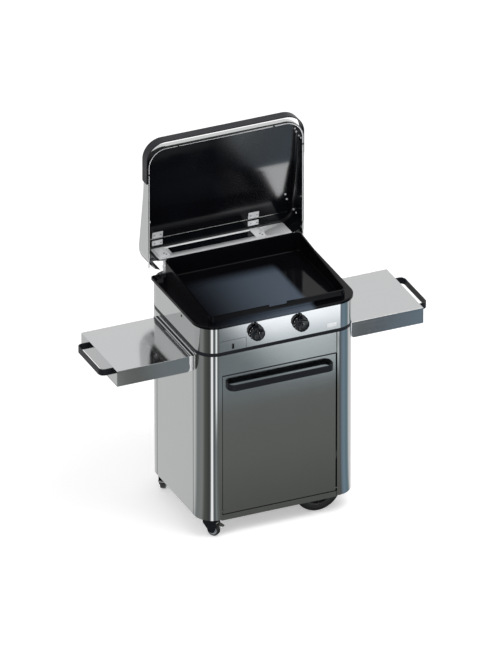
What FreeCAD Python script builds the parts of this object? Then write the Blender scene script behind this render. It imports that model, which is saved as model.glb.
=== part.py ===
import FreeCAD, Part
import math
import os
import Sketcher
from types import SimpleNamespace

# Outdoor gas griddle station: a steel trolley on two wheels and two casters,
# with fold-down side shelves and a drop-down door, and on top of it a gas
# griddle with two burners, a grease drawer and a hinged lid.
# X points right, Y points back, Z points up. The origin lies on the floor in
# the middle of the trolley. Lengths are in millimetres, angles in degrees.
# The lid is drawn shut and then turned a quarter open about its hinge line.

doc = FreeCAD.newDocument("griddle_station")
sheet = doc.addObject("Spreadsheet::Sheet", "Sizes")
pieces = []
FULL_TURN = 2 * math.pi
PAST = 2  # how far a cutter runs past the solid that it cuts
NEAR = 0.01  # how close two places are when they count as the same

TROLLEY = {
    "body_width": 650,
    "body_depth": 518,
    "corner_radius": 76,
    "post_leg": 84,
    "post_return": 27,
    "post_bottom": 75,
    "trolley_top": 791,
    "frame_steel": 1.5,
    "skin_steel": 1.2,
    "seam": 0.4,
    "panel_return": 16,
    "front_recess": 5,
    "fascia_bottom": 697,
    "rail_bottom": 68.5,
    "rail_top": 92.6,
    "rail_depth": 21,
    "floor_top": 108,
    "frame_border": 66,
    "band_height": 11.5,
    "band_inset": 2.5,
    "band_width": 18,
    "screw_radius": 2.5,
    "screw_head_radius": 5,
    "screw_head_height": 2.4,
    "screw_length": 9,
    "screw_inset": 14,
    "gusset_margin": 3,
    "vent_width": 46,
    "vent_slit": 7,
    "vent_pitch": 62,
    "vent_count": 6,
    "vent_low": 170,
    "vent_high": 700,
}

DOOR = {
    "door_side_gap": 4.5,
    "door_bottom": 96.5,
    "door_top": 694.5,
    "door_thickness": 20,
    "door_pivot_inset": 8,
    "door_pivot_rise": 7.5,
    "door_pin_radius": 3,
    "door_pin_length": 22,
    "door_pin_head": 5,
    "handle_band": 26,
    "handle_steel": 4,
    "door_handle_width": 440,
    "door_handle_reach": 33.5,
    "door_handle_top": 666,
    "door_handle_radius": 27,
    "running_gap": 0.08,
    "small_gap": 0.3,
}

SHELF = {
    "shelf_depth": 344,
    "shelf_length": 301.6,
    "shelf_top": 766,
    "shelf_skirt": 66.5,
    "shelf_bend": 1.2,
    "shelf_heel": 12,
    "wall_rail_depth": 13,
    "wall_rail_height": 66,
    "wall_rail_top": 768.5,
    "shelf_gap": 2,
    "shelf_pivot_out": 12,
    "shelf_pivot_up": 12.5,
    "pivot_ear": 3,
    "pivot_ear_inset": 9,
    "pivot_radius": 4,
    "shelf_handle_width": 230,
    "shelf_handle_reach": 44.9,
    "shelf_handle_drop": 14,
    "shelf_handle_radius": 22,
}

WHEELS = {
    "wheel_radius": 96,
    "wheel_width": 40,
    "wheel_side_inset": 142,
    "wheel_end_inset": 38,
    "wheel_rim_depth": 27,
    "wheel_web": 6,
    "wheel_rib": 4,
    "wheel_rib_count": 8,
    "wheel_shoulder": 12,
    "axle_radius": 6,
    "axle_end": 5,
    "arch_gap": 7,
    "axle_bracket_gap": 31,
    "axle_bracket_steel": 3,
    "axle_bracket_width": 40,
    "caster_height": 75,
    "caster_radius": 25,
    "caster_tread": 20,
    "caster_hub_out": 2,
    "caster_rim_depth": 8,
    "caster_shoulder": 4,
    "caster_side_inset": 48,
    "caster_end_inset": 47,
    "caster_trail": 22,
    "caster_turn": 35,
    "caster_plate_radius": 30,
    "caster_plate_steel": 3,
    "caster_crown": 60,
    "caster_fork_inner": 27,
    "caster_leg": 2.5,
    "caster_axle_radius": 4,
    "kingpin_radius": 6,
    "kingpin_head": 9,
    "race_radius": 14,
    "race_height": 5,
    "fork_front": 18,
    "fork_rear": 6,
    "fork_skirt": 7,
    "fork_eye": 9,
    "fork_round": 4,
    "pedal_pin_radius": 2.5,
    "pedal_barrel_radius": 4.5,
    "pedal_length": 30,
    "pedal_heel": 8,
    "pedal_fall": 8,
    "pedal_pin_out": 13,
    "pedal_steel": 2.5,
}

GRIDDLE = {
    "housing_height": 107.5,
    "housing_lip": 20,
    "panel_overlap": 4.7,
    "cook_side_margin": 39,
    "cook_front_margin": 15,
    "cook_rear_margin": 63,
    "plate_overhang": 8,
    "plate_rear_margin": 41,
    "plate_rim": 12.2,
    "plate_rim_round": 3,
    "plate_lip": 4,
    "plate_sheet": 4.2,
    "plate_floor": 6,
    "plate_floor_round": 5,
    "plate_wall": 6,
    "plate_rib": 8,
    "plate_rib_out": 14,
    "plate_front_top": 957,
    "plate_rear_top": 995,
    "plate_rear_radius": 12,
    "plate_tray_radius": 22,
    "plate_notch_width": 75,
    "plate_notch_depth": 9,
    "grease_inset": 30,
    "grease_hole": 15,
    "grease_spout": 1.5,
    "grease_spout_length": 24,
    "knob_left_x": -100,
    "knob_right_x": 85,
    "knob_z": 864,
    "knob_radius": 31.5,
    "knob_skirt": 9,
    "knob_skirt_fall": 3,
    "knob_skirt_round": 1.5,
    "knob_scallop": 5,
    "knob_scallop_out": 3.4,
    "knob_scallop_count": 10,
    "knob_nose_steel": 6,
    "knob_front": 26,
    "knob_back_gap": 4.6,
    "knob_grip_radius": 20,
    "knob_nose": 45,
    "knob_nose_width": 15,
    "spindle_radius": 3.5,
    "spindle_hole": 6,
    "valve_radius": 11,
    "valve_front": 12,
    "valve_length": 34,
    "plug_radius": 7,
    "plug_length": 26,
    "spindle_depth": 14,
    "jet_radius": 3.5,
    "jet_length": 12,
    "manifold_radius": 9,
    "manifold_drop": 24,
    "manifold_left": 30,
    "manifold_side_inset": 97,
    "inlet_reach": 22,
    "inlet_radius": 10.5,
    "inlet_bore": 5,
    "inlet_thread": 15,
    "burner_radius": 14,
    "burner_front": 10,
    "burner_rear": 149,
    "burner_turn": 60,
    "burner_bore": 8,
    "burner_foot": 2,
    "burner_tail_gap": 20,
    "burner_foot_front": 53,
    "drawer_end_gap": 3.7,
    "drawer_width": 109,
    "drawer_height": 46,
    "drawer_length": 215,
    "drawer_side_gap": 4.5,
    "drawer_tray_height": 38,
    "drawer_guide": 18,
    "finger_slot_width": 10,
    "finger_slot_height": 24,
    "finger_slot_rise": 6,
    "finger_room": 15,
}

LID = {
    "lid_side_overhang": 1,
    "lid_end_overhang": 3,
    "lid_rim": 926,
    "lid_front_height": 45,
    "lid_bend_y": -60,
    "lid_bend_height": 60,
    "lid_bend_radius": 400,
    "lid_crest_inset": 80,
    "lid_crest_radius": 20,
    "lid_crest_height": 102,
    "lid_front_radius": 76,
    "lid_rear_radius": 60,
    "lid_edge_radius": 14,
    "lid_wall": 1.5,
    "liner_wall": 1,
    "hinge_inset": 5,
    "hinge_z": 930,
    "lid_return": 48,
    "lid_return_top": 74,
    "lid_back_inset": 40,
    "lid_back_margin": 36.5,
    "lid_vent_half": 212,
    "lid_vent_low": 34,
    "lid_vent_high": 81,
    "lid_handle_gap": 20,
    "lid_handle_low": 7,
    "lid_handle_band": 41,
    "lid_handle_radius": 78,
    "lid_handle_arm": 115,
    "bumper_radius": 3.5,
    "bumper_height": 1.7,
    "bumper_front_x": 200,
    "bumper_side_y": 158,
    "hinge_left_x": -247,
    "hinge_right_x": 156,
    "hinge_pin_radius": 4,
    "hinge_knuckle_radius": 8.5,
    "hinge_arm_width": 24,
    "hinge_ear": 3,
    "hinge_leaf_width": 44,
    "hinge_leaf_steel": 2.5,
    "hinge_foot": 4,
    "strap_crown": 20,
    "strap_slope": 27,
    "strap_gap": 12,
    "strap_steel": 2,
}


class Size:
    """A length with its present value and the sheet expression that it follows."""

    def __init__(self, value, text):
        self.value = float(value)
        self.text = text

    def combined(self, value, pattern, other):
        return Size(value, pattern % (self.text, text_of(other)))

    def __add__(self, other):
        return self.combined(self.value + number(other), "(%s + %s)", other)

    def __radd__(self, other):
        return self + other

    def __sub__(self, other):
        return self.combined(self.value - number(other), "(%s - %s)", other)

    def __rsub__(self, other):
        return -self + other

    def __mul__(self, other):
        return self.combined(self.value * number(other), "%s * %s", other)

    def __rmul__(self, other):
        return self * other

    def __truediv__(self, other):
        return self.combined(self.value / number(other), "%s / %s", other)

    def __neg__(self):
        return Size(-self.value, "(0 - %s)" % self.text)


def number(size):
    return size.value if isinstance(size, Size) else float(size)


def text_of(size):
    return size.text if isinstance(size, Size) else repr(float(size))


def write_sizes():
    """Write every driving dimension into the sheet and return them by name."""
    named = {}
    row = 0
    for group in (TROLLEY, DOOR, SHELF, WHEELS, GRIDDLE, LID):
        for name, value in group.items():
            row += 1
            sheet.set("A%d" % row, name)
            sheet.set("B%d" % row, str(value))
            sheet.setAlias("B%d" % row, name)
            named[name] = Size(value, "Sizes." + name)
    doc.recompute()
    return SimpleNamespace(**named)


s = write_sizes()

# Places that several pieces share
half_width = s.body_width / 2
half_depth = s.body_depth / 2
opening_x = half_width - s.post_leg
opening_y = half_depth - s.post_leg
front_y = s.front_recess - half_depth
panel_half = half_width - s.corner_radius + s.panel_overlap
frame_top = s.trolley_top + s.frame_steel
housing_bottom = frame_top + s.band_height
housing_top = housing_bottom + s.housing_height
door_half = opening_x - s.door_side_gap
door_pivot_y = front_y + s.door_pivot_inset
door_pivot_z = s.door_bottom + s.door_pivot_rise
rail_face = half_width + s.wall_rail_depth
shelf_start = rail_face + s.shelf_gap
shelf_end = shelf_start + s.shelf_length
shelf_pivot_x = shelf_start + s.shelf_pivot_out
shelf_pivot_z = s.shelf_top - s.shelf_skirt + s.shelf_pivot_up
wheel_x = half_width - s.wheel_side_inset
wheel_face = half_depth - s.wheel_end_inset
arch_half = s.wheel_radius + s.arch_gap
caster_x = half_width - s.caster_side_inset
caster_y = half_depth - s.caster_end_inset
pedal_pin_y = -s.caster_trail - s.pedal_pin_out
pedal_pin_z = s.caster_crown - s.pedal_barrel_radius - s.small_gap
cook_side = half_width - s.cook_side_margin
cook_front = half_depth - s.cook_front_margin
cook_rear = half_depth - s.cook_rear_margin
drawer_left = panel_half - s.drawer_end_gap
drawer_right = drawer_left - s.drawer_width
plate_bottom = housing_top + s.small_gap
plate_top = plate_bottom + s.plate_rim
cook_floor = plate_bottom + s.plate_floor
knob_back = -half_depth - s.knob_back_gap
valve_start = s.valve_front - half_depth
manifold_y = valve_start + s.valve_length / 2
manifold_z = s.knob_z - s.manifold_drop
manifold_left = s.knob_left_x - s.manifold_left
manifold_right = half_width - s.manifold_side_inset
burner_start = valve_start + s.valve_length + s.burner_front
burner_back = half_depth - s.burner_rear
pan_top = housing_bottom + s.frame_steel + s.skin_steel
lid_half = half_width + s.lid_side_overhang
lid_end = half_depth + s.lid_end_overhang
lid_crest_y = lid_end - s.lid_crest_inset
lid_back_y = lid_end - s.lid_back_inset
hinge_y = half_depth - s.hinge_inset


def bind(thing, **sizes):
    """Set properties, each bound to the sheet where it follows a size."""
    for name, size in sizes.items():
        if isinstance(size, Size):
            thing.setExpression(name, size.text)
        else:
            setattr(thing, name, size)


def place(thing, x=0, y=0, z=0, axis=(0, 0, 1), angle=0):
    """Put a piece at x, y, z after turning it about an axis through its own origin."""
    rotation = FreeCAD.Rotation(FreeCAD.Vector(*axis), angle)
    base = FreeCAD.Vector(number(x), number(y), number(z))
    thing.Placement = FreeCAD.Placement(base, rotation)
    for letter, where in zip("xyz", (x, y, z)):
        if isinstance(where, Size):
            thing.setExpression("Placement.Base." + letter, where.text)
    return thing


def finish(thing, label):
    """Name a finished piece, which is kept under that name."""
    thing.Label = label
    pieces.append(thing)
    return thing


def open_lid(thing, label):
    """Turn a piece of the lid, drawn shut, a quarter open about the hinge line."""
    place(thing, 0, hinge_y - s.hinge_z, s.hinge_z + hinge_y, (1, 0, 0), -90)
    return finish(thing, label)


def new_body(name):
    return doc.addObject("PartDesign::Body", name)


def new_sketch(body, plane, at=0):
    """Start a sketch on one of the body's origin planes, moved along the plane's axis."""
    sketch = body.newObject("Sketcher::SketchObject", body.Name + "_outline")
    support = [f for f in body.Origin.OriginFeatures if f.Role == plane + "_Plane"][0]
    sketch.AttachmentSupport = [(support, "")]
    sketch.MapMode = "FlatFace"
    offset = -at if plane == "XZ" else at
    sketch.AttachmentOffset = FreeCAD.Placement(
        FreeCAD.Vector(0, 0, number(offset)), FreeCAD.Rotation())
    if isinstance(offset, Size):
        sketch.setExpression("AttachmentOffset.Base.z", offset.text)
    return sketch


def fix_point(sketch, geometry, point, u, v):
    """Hold a point of the sketch at u, v from its origin."""
    for kind, size in (("DistanceX", u), ("DistanceY", v)):
        rule = sketch.addConstraint(
            Sketcher.Constraint(kind, -1, 1, geometry, point, number(size)))
        if isinstance(size, Size):
            sketch.setExpression("Constraints[%d]" % rule, size.text)


def fix_radius(sketch, geometry, radius):
    rule = sketch.addConstraint(Sketcher.Constraint("Radius", geometry, number(radius)))
    if isinstance(radius, Size):
        sketch.setExpression("Constraints[%d]" % rule, radius.text)


def circle(sketch, u, v, radius):
    centre = FreeCAD.Vector(number(u), number(v), 0)
    ring = Part.Circle(centre, FreeCAD.Vector(0, 0, 1), number(radius))
    geometry = sketch.addGeometry(ring, False)
    fix_point(sketch, geometry, 3, u, v)
    fix_radius(sketch, geometry, radius)


def corner_arc(before, corner, after, radius):
    """Return the two tangent points and the arc that rounds a corner, and its turn."""
    towards = (before - corner).normalize()
    onwards = (after - corner).normalize()
    half = towards.getAngle(onwards) / 2
    reach = radius / math.tan(half)
    middle = (towards + onwards).normalize()
    centre = corner + middle * (radius / math.sin(half))
    first = corner + towards * reach
    last = corner + onwards * reach
    left_turn = (corner - before).cross(after - corner).z > 0
    ends = (first, last) if left_turn else (last, first)
    angles = [math.atan2((end - centre).y, (end - centre).x) for end in ends]
    ring = Part.Circle(centre, FreeCAD.Vector(0, 0, 1), radius)
    return first, last, Part.ArcOfCircle(ring, angles[0], angles[1]), left_turn


def outline(sketch, corners):
    """Draw a closed outline through corners (u, v) or (u, v, radius)."""
    count = len(corners)
    points = [FreeCAD.Vector(number(c[0]), number(c[1]), 0) for c in corners]
    starts = list(points)
    ends = list(points)
    arcs = {}
    for i, corner in enumerate(corners):
        if len(corner) == 3:
            found = corner_arc(points[i - 1], points[i], points[(i + 1) % count],
                               number(corner[2]))
            ends[i] = found[0]
            starts[i] = found[1]
            arcs[i] = found[2:]
    lines = []
    for i in range(count):
        segment = Part.LineSegment(starts[i], ends[(i + 1) % count])
        lines.append(sketch.addGeometry(segment, False))
    for i, corner in enumerate(corners):
        before = lines[i - 1]
        after = lines[i]
        if i not in arcs:
            sketch.addConstraint(Sketcher.Constraint("Coincident", before, 2, after, 1))
            fix_point(sketch, after, 1, corner[0], corner[1])
            continue
        arc = sketch.addGeometry(arcs[i][0], False)
        first = 1 if arcs[i][1] else 2
        mark = sketch.addGeometry(Part.Point(points[i]), True)
        fix_point(sketch, mark, 1, corner[0], corner[1])
        sketch.addConstraint(Sketcher.Constraint("PointOnObject", mark, 1, before))
        sketch.addConstraint(Sketcher.Constraint("PointOnObject", mark, 1, after))
        sketch.addConstraint(Sketcher.Constraint("Tangent", before, 2, arc, first))
        sketch.addConstraint(Sketcher.Constraint("Tangent", after, 1, arc, 3 - first))
        fix_radius(sketch, arc, corner[2])


def rectangle(sketch, u_low, v_low, u_high, v_high, radius=None):
    """Draw a rectangle, with its corners rounded where a radius is given."""
    corners = [(u_low, v_low), (u_high, v_low), (u_high, v_high), (u_low, v_high)]
    if radius is not None:
        corners = [corner + (radius,) for corner in corners]
    outline(sketch, corners)


def pad(body, sketch, length, back=False, midplane=False):
    """Extrude a sketch: along +Z, -Y or +X for the planes XY, XZ and YZ, or back."""
    feature = body.newObject("PartDesign::Pad", body.Name + "_pad")
    feature.Profile = sketch
    bind(feature, Length=length, Reversed=back, Midplane=midplane)
    return feature


def pocket(body, sketch, depth=None, back=False, midplane=False):
    """Cut a sketch: along -Z, +Y or -X for the planes XY, XZ and YZ, or back."""
    feature = body.newObject("PartDesign::Pocket", body.Name + "_pocket")
    feature.Profile = sketch
    feature.Reversed = back
    feature.Midplane = midplane
    if depth is None:
        feature.Type = "ThroughAll"
    else:
        bind(feature, Length=depth)
    return feature


def revolve(body, sketch, axis):
    """Turn a sketch a full turn about one of the body's own axes."""
    feature = body.newObject("PartDesign::Revolution", body.Name + "_turned")
    feature.Profile = sketch
    line = [f for f in body.Origin.OriginFeatures if f.Role == axis + "_Axis"][0]
    feature.ReferenceAxis = (line, [""])
    feature.Angle = 360
    return feature


def round_edges(body, base, radius, test):
    """Round the edges of a feature for which the test is true."""
    doc.recompute()
    names = ["Edge%d" % (i + 1) for i, e in enumerate(base.Shape.Edges) if test(e)]
    feature = body.newObject("PartDesign::Fillet", body.Name + "_rounding")
    feature.Base = (base, names)
    bind(feature, Radius=radius)
    body.Tip = feature
    return feature


def around(body, feature, name, count):
    """Repeat a feature round the body's own Y axis."""
    pattern = body.newObject("PartDesign::PolarPattern", name)
    pattern.Originals = [feature]
    axis = [f for f in body.Origin.OriginFeatures if f.Role == "Y_Axis"][0]
    pattern.Axis = (axis, [""])
    pattern.Angle = 360
    bind(pattern, Occurrences=count)
    body.Tip = pattern


def block(name, low, high):
    """A box between two opposite corners."""
    box = doc.addObject("Part::Box", name)
    bind(box, Length=high[0] - low[0], Width=high[1] - low[1], Height=high[2] - low[2])
    return place(box, low[0], low[1], low[2])


def rod(name, start, direction, radius, length):
    """A round bar from its start along X, Y or Z."""
    bar = doc.addObject("Part::Cylinder", name)
    bind(bar, Radius=radius, Height=length)
    turns = {"X": ((0, 1, 0), 90), "Y": ((1, 0, 0), -90), "Z": ((0, 0, 1), 0)}
    axis, angle = turns[direction]
    return place(bar, start[0], start[1], start[2], axis, angle)


def cut(name, base, tools):
    """A base less its tools."""
    result = doc.addObject("Part::Cut", name)
    result.Base = base
    result.Tool = tools[0] if len(tools) == 1 else fuse(name + "_tools", tools)
    return result


def fuse(name, parts):
    result = doc.addObject("Part::MultiFuse", name)
    result.Shapes = parts
    result.Refine = True
    return result


def group(name, parts):
    """Separate solids that share one name."""
    result = doc.addObject("Part::Compound", name)
    result.Links = parts
    return result


# Trolley frame

def corner_post(label, side, end):
    """A sheet folded to a quarter-round column, with its two edges turned inwards."""
    body = new_body(label)
    wall = s.frame_steel
    outer_x = side * half_width
    outer_y = end * half_depth
    inner_x = side * (half_width - wall)
    inner_y = end * (half_depth - wall)
    lip_x = side * opening_x
    lip_y = end * opening_y
    turn_y = end * (half_depth - s.post_return)
    turn_x = side * (half_width - s.post_return)
    sketch = new_sketch(body, "XY", s.post_bottom)
    outline(sketch, [
        (lip_x, turn_y), (lip_x, outer_y), (outer_x, outer_y, s.corner_radius),
        (outer_x, lip_y), (turn_x, lip_y), (turn_x, end * (opening_y + wall)),
        (inner_x, end * (opening_y + wall)), (inner_x, inner_y, s.corner_radius - wall),
        (side * (opening_x + wall), inner_y), (side * (opening_x + wall), turn_y)])
    pad(body, sketch, s.trolley_top - s.post_bottom)
    return body


def front_post(label, side):
    """A front column, drilled near its foot for the door's hinge pin."""
    body = corner_post(label + "_column", side, -1)
    start = opening_x - PAST if side > 0 else -opening_x - s.frame_steel - PAST
    drill = rod(label + "_drill", (start, door_pivot_y, door_pivot_z), "X",
                s.door_pin_radius, s.frame_steel + PAST * 2)
    finish(cut(label + "_drilled", body, [drill]), label)


def side_panel(label, side):
    """A flat skin between two columns, with its upright edges folded inwards."""
    body = new_body(label)
    reach = opening_y - s.seam
    outer = side * half_width
    inner = side * (half_width - s.skin_steel)
    fold = side * (half_width - s.panel_return)
    sketch = new_sketch(body, "XY", s.post_bottom)
    outline(sketch, [
        (outer, -reach), (outer, reach), (fold, reach), (fold, reach - s.skin_steel),
        (inner, reach - s.skin_steel), (inner, s.skin_steel - reach),
        (fold, s.skin_steel - reach), (fold, -reach)])
    pad(body, sketch, s.trolley_top - s.post_bottom)
    finish(body, label)


def screw_places():
    """The corners of the back panel where its screws sit, as x and z."""
    reach = opening_x - s.seam - s.screw_inset
    low = s.floor_top + s.screw_inset
    high = s.trolley_top - s.screw_inset
    middle = (low + high) / 2
    return [(side * reach, z) for side in (-1, 1) for z in (low, middle, high)]


def back_panel():
    """The rear skin, with a row of vent slits low down and another high up."""
    body = new_body("back_panel")
    reach = opening_x - s.seam
    outer = half_depth
    inner = half_depth - s.skin_steel
    fold = half_depth - s.panel_return
    sketch = new_sketch(body, "XY", s.post_bottom)
    outline(sketch, [
        (-reach, fold), (-reach, outer), (reach, outer), (reach, fold),
        (reach - s.skin_steel, fold), (reach - s.skin_steel, inner),
        (s.skin_steel - reach, inner), (s.skin_steel - reach, fold)])
    pad(body, sketch, s.trolley_top - s.post_bottom)
    first = s.vent_pitch * (1 - s.vent_count) / 2
    for height in (s.vent_low, s.vent_high):
        slit = new_sketch(body, "XZ", inner - s.seam)
        rectangle(slit, first - s.vent_width / 2, height,
                  first + s.vent_width / 2, height + s.vent_slit, s.vent_slit * 0.45)
        hole = pocket(body, slit, s.skin_steel * 2)
        row = body.newObject("PartDesign::LinearPattern", "vent_row")
        row.Originals = [hole]
        row.Direction = (slit, ["H_Axis"])
        bind(row, Length=s.vent_pitch * (s.vent_count - 1))
        bind(row, Occurrences=s.vent_count)
        body.Tip = row
    holes = new_sketch(body, "XZ", inner - s.seam)
    for x, z in screw_places():
        circle(holes, x, z, s.screw_radius)
    body.Tip = pocket(body, holes, s.skin_steel * 2)
    finish(body, "back_panel")


def panel_screws():
    """Round-headed screws that hold the back panel."""
    screws = []
    for i, (x, z) in enumerate(screw_places()):
        body = new_body("panel_screw_%d" % i)
        sketch = new_sketch(body, "XY")
        head = s.screw_head_height
        outline(sketch, [
            (0, -s.screw_length), (s.screw_radius, -s.screw_length), (s.screw_radius, 0),
            (s.screw_head_radius, 0), (s.screw_head_radius, head * 0.4),
            (s.screw_head_radius * 0.7, head), (0, head)])
        revolve(body, sketch, "Y")
        screws.append(place(body, x, half_depth, z))
    finish(group("screw_set", screws), "panel_screws")


def floor_tray():
    """The cabinet floor, its edges turned down, with gussets that carry the casters."""
    body = new_body("floor_tray")
    wall = s.frame_steel
    reach_x = half_width - s.post_return - s.small_gap
    reach_y = half_depth - s.post_return - s.small_gap
    sketch = new_sketch(body, "XY", s.post_bottom)
    rectangle(sketch, -reach_x, -reach_y, reach_x, reach_y)
    pad(body, sketch, s.floor_top - s.post_bottom)
    hollow = new_sketch(body, "XY", s.floor_top - wall)
    rectangle(hollow, wall - reach_x, wall - reach_y, reach_x - wall, reach_y - wall)
    pocket(body, hollow)
    wells = new_sketch(body, "XY", s.floor_top)
    for end in (-1, 1):
        low, high = arch_span(end)
        rectangle(wells, wheel_x - arch_half, low, wheel_x + arch_half, high)
    pocket(body, wells, wall)
    gussets = new_sketch(body, "XY", s.post_bottom)
    for end in (-1, 1):
        circle(gussets, -caster_x, end * caster_y, s.caster_plate_radius + s.gusset_margin)
    pad(body, gussets, s.caster_plate_steel)
    finish(body, "floor_tray")


def arch_span(end):
    """The front and rear edge of the well over a big wheel."""
    near = wheel_face - s.wheel_width - s.arch_gap
    far = wheel_face + s.arch_gap
    return (near, far) if end > 0 else (-far, -near)


def wheel_arches():
    """Welded covers over the big wheels, open below, with a slot for the axle."""
    arches = []
    for end in (-1, 1):
        low, high = arch_span(end)
        wall = s.skin_steel
        top = s.wheel_radius * 2 + s.arch_gap
        body = new_body("wheel_arch_%s" % ("rear" if end > 0 else "front"))
        sketch = new_sketch(body, "XZ", high)
        left = wheel_x - arch_half
        right = wheel_x + arch_half
        outline(sketch, [(left, s.floor_top), (right, s.floor_top),
                         (right, top, arch_half * 0.5), (left, top, arch_half * 0.5)])
        pad(body, sketch, high - low)
        hollow = new_sketch(body, "XZ", low + wall)
        outline(hollow, [(left + wall, s.floor_top - PAST), (right - wall, s.floor_top - PAST),
                         (right - wall, top - wall, arch_half * 0.5 - wall),
                         (left + wall, top - wall, arch_half * 0.5 - wall)])
        pocket(body, hollow, high - low - wall * 2)
        arches.append(body)
    finish(group("arch_pair", arches), "wheel_arches")


def bottom_rail():
    """The channel under the door that ties the two front columns together."""
    body = new_body("bottom_rail")
    reach = opening_x - s.seam
    wall = s.skin_steel
    rear = front_y + s.rail_depth
    sketch = new_sketch(body, "YZ", -reach)
    outline(sketch, [
        (rear, s.rail_bottom), (rear, s.rail_bottom + wall),
        (front_y + wall, s.rail_bottom + wall), (front_y + wall, s.rail_top - wall),
        (rear, s.rail_top - wall), (rear, s.rail_top),
        (front_y, s.rail_top), (front_y, s.rail_bottom)])
    pad(body, sketch, reach * 2)
    finish(body, "bottom_rail")


def fascia_panel():
    """The plain panel above the door, with its long edges folded back."""
    body = new_body("fascia_panel")
    reach = opening_x - s.seam * 4
    wall = s.skin_steel
    rear = front_y + s.panel_return
    sketch = new_sketch(body, "YZ", -reach)
    outline(sketch, [
        (rear, s.fascia_bottom), (rear, s.fascia_bottom + wall),
        (front_y + wall, s.fascia_bottom + wall), (front_y + wall, s.trolley_top - wall),
        (rear, s.trolley_top - wall), (rear, s.trolley_top),
        (front_y, s.trolley_top), (front_y, s.fascia_bottom)])
    pad(body, sketch, reach * 2)
    finish(body, "fascia_panel")


def ring(label, inset, width, bottom, height):
    """A flat frame that follows the trolley's rounded plan."""
    body = new_body(label)
    sketch = new_sketch(body, "XY", bottom)
    outer_x = half_width - inset
    outer_y = half_depth - inset
    radius = s.corner_radius - inset
    rectangle(sketch, -outer_x, -outer_y, outer_x, outer_y, radius)
    rectangle(sketch, width - outer_x, width - outer_y, outer_x - width, outer_y - width,
              radius * 0.8 - width * 0.5)
    pad(body, sketch, height)
    finish(body, label)


# Door

def door_skin():
    """The outer sheet of the door, its four edges folded back and drilled for the pins."""
    body = new_body("door_skin_sheet")
    depth = s.door_thickness - s.skin_steel
    sketch = new_sketch(body, "XZ", front_y)
    rectangle(sketch, -door_half, s.door_bottom, door_half, s.door_top)
    pad(body, sketch, depth, back=True)
    hollow = new_sketch(body, "XZ", front_y + s.skin_steel)
    wall = s.skin_steel
    rectangle(hollow, wall - door_half, s.door_bottom + wall, door_half - wall, s.door_top - wall)
    pocket(body, hollow, depth)
    pivots = new_sketch(body, "YZ")
    circle(pivots, door_pivot_y, door_pivot_z, s.door_pin_radius + s.running_gap)
    pocket(body, pivots, (door_half + PAST) * 2, midplane=True)
    finish(body, "door_skin")


def door_inner_panel():
    """The inner sheet that closes the door, stiffened by two pressed ribs."""
    body = new_body("door_inner_panel")
    start = front_y + s.door_thickness - s.skin_steel
    sketch = new_sketch(body, "XZ", start)
    rectangle(sketch, -door_half, s.door_bottom, door_half, s.door_top)
    pad(body, sketch, s.skin_steel, back=True)
    ribs = new_sketch(body, "XZ", start)
    rib = s.door_thickness / 2
    for side in (-1, 1):
        middle = side * door_half * 0.55
        rectangle(ribs, middle - rib, s.door_bottom + rib * 4, middle + rib, s.door_top - rib * 4,
                  rib * 0.9)
    pad(body, ribs, s.door_thickness * 0.4)
    finish(body, "door_inner_panel")


def door_hinge_pins():
    """Headed pins in the front columns, on which the door drops open."""
    pins = []
    for side in (-1, 1):
        body = new_body("door_pin_%s" % ("right" if side > 0 else "left"))
        sketch = new_sketch(body, "XY")
        outer = side * (opening_x + s.frame_steel)
        tip = side * (opening_x + s.frame_steel - s.door_pin_length)
        head = side * (opening_x + s.frame_steel * 2)
        outline(sketch, [(tip, 0), (tip, s.door_pin_radius), (outer, s.door_pin_radius),
                         (outer, s.door_pin_head), (head, s.door_pin_head), (head, 0)])
        revolve(body, sketch, "X")
        pins.append(place(body, 0, door_pivot_y, door_pivot_z))
    finish(group("door_pin_pair", pins), "door_hinge_pins")


def door_handle():
    """The wide flat-band pull across the top of the door."""
    body = new_body("door_handle")
    sketch = new_sketch(body, "XY", s.door_handle_top - s.handle_band)
    outline(sketch, u_band(s.door_handle_width / 2, front_y, front_y - s.door_handle_reach,
                           s.door_handle_radius, -1))
    pad(body, sketch, s.handle_band)
    finish(body, "door_handle")


def u_band(half, foot, tip, radius, way):
    """Corners of a U-shaped band: legs at +-half from foot to tip, way is the tip's side."""
    wall = s.handle_steel
    inner = radius - wall
    return [
        (-half, foot), (-half, tip, radius), (half, tip, radius), (half, foot),
        (half - wall, foot), (half - wall, tip - wall * way, inner),
        (wall - half, tip - wall * way, inner), (wall - half, foot)]


# Side shelves

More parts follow.
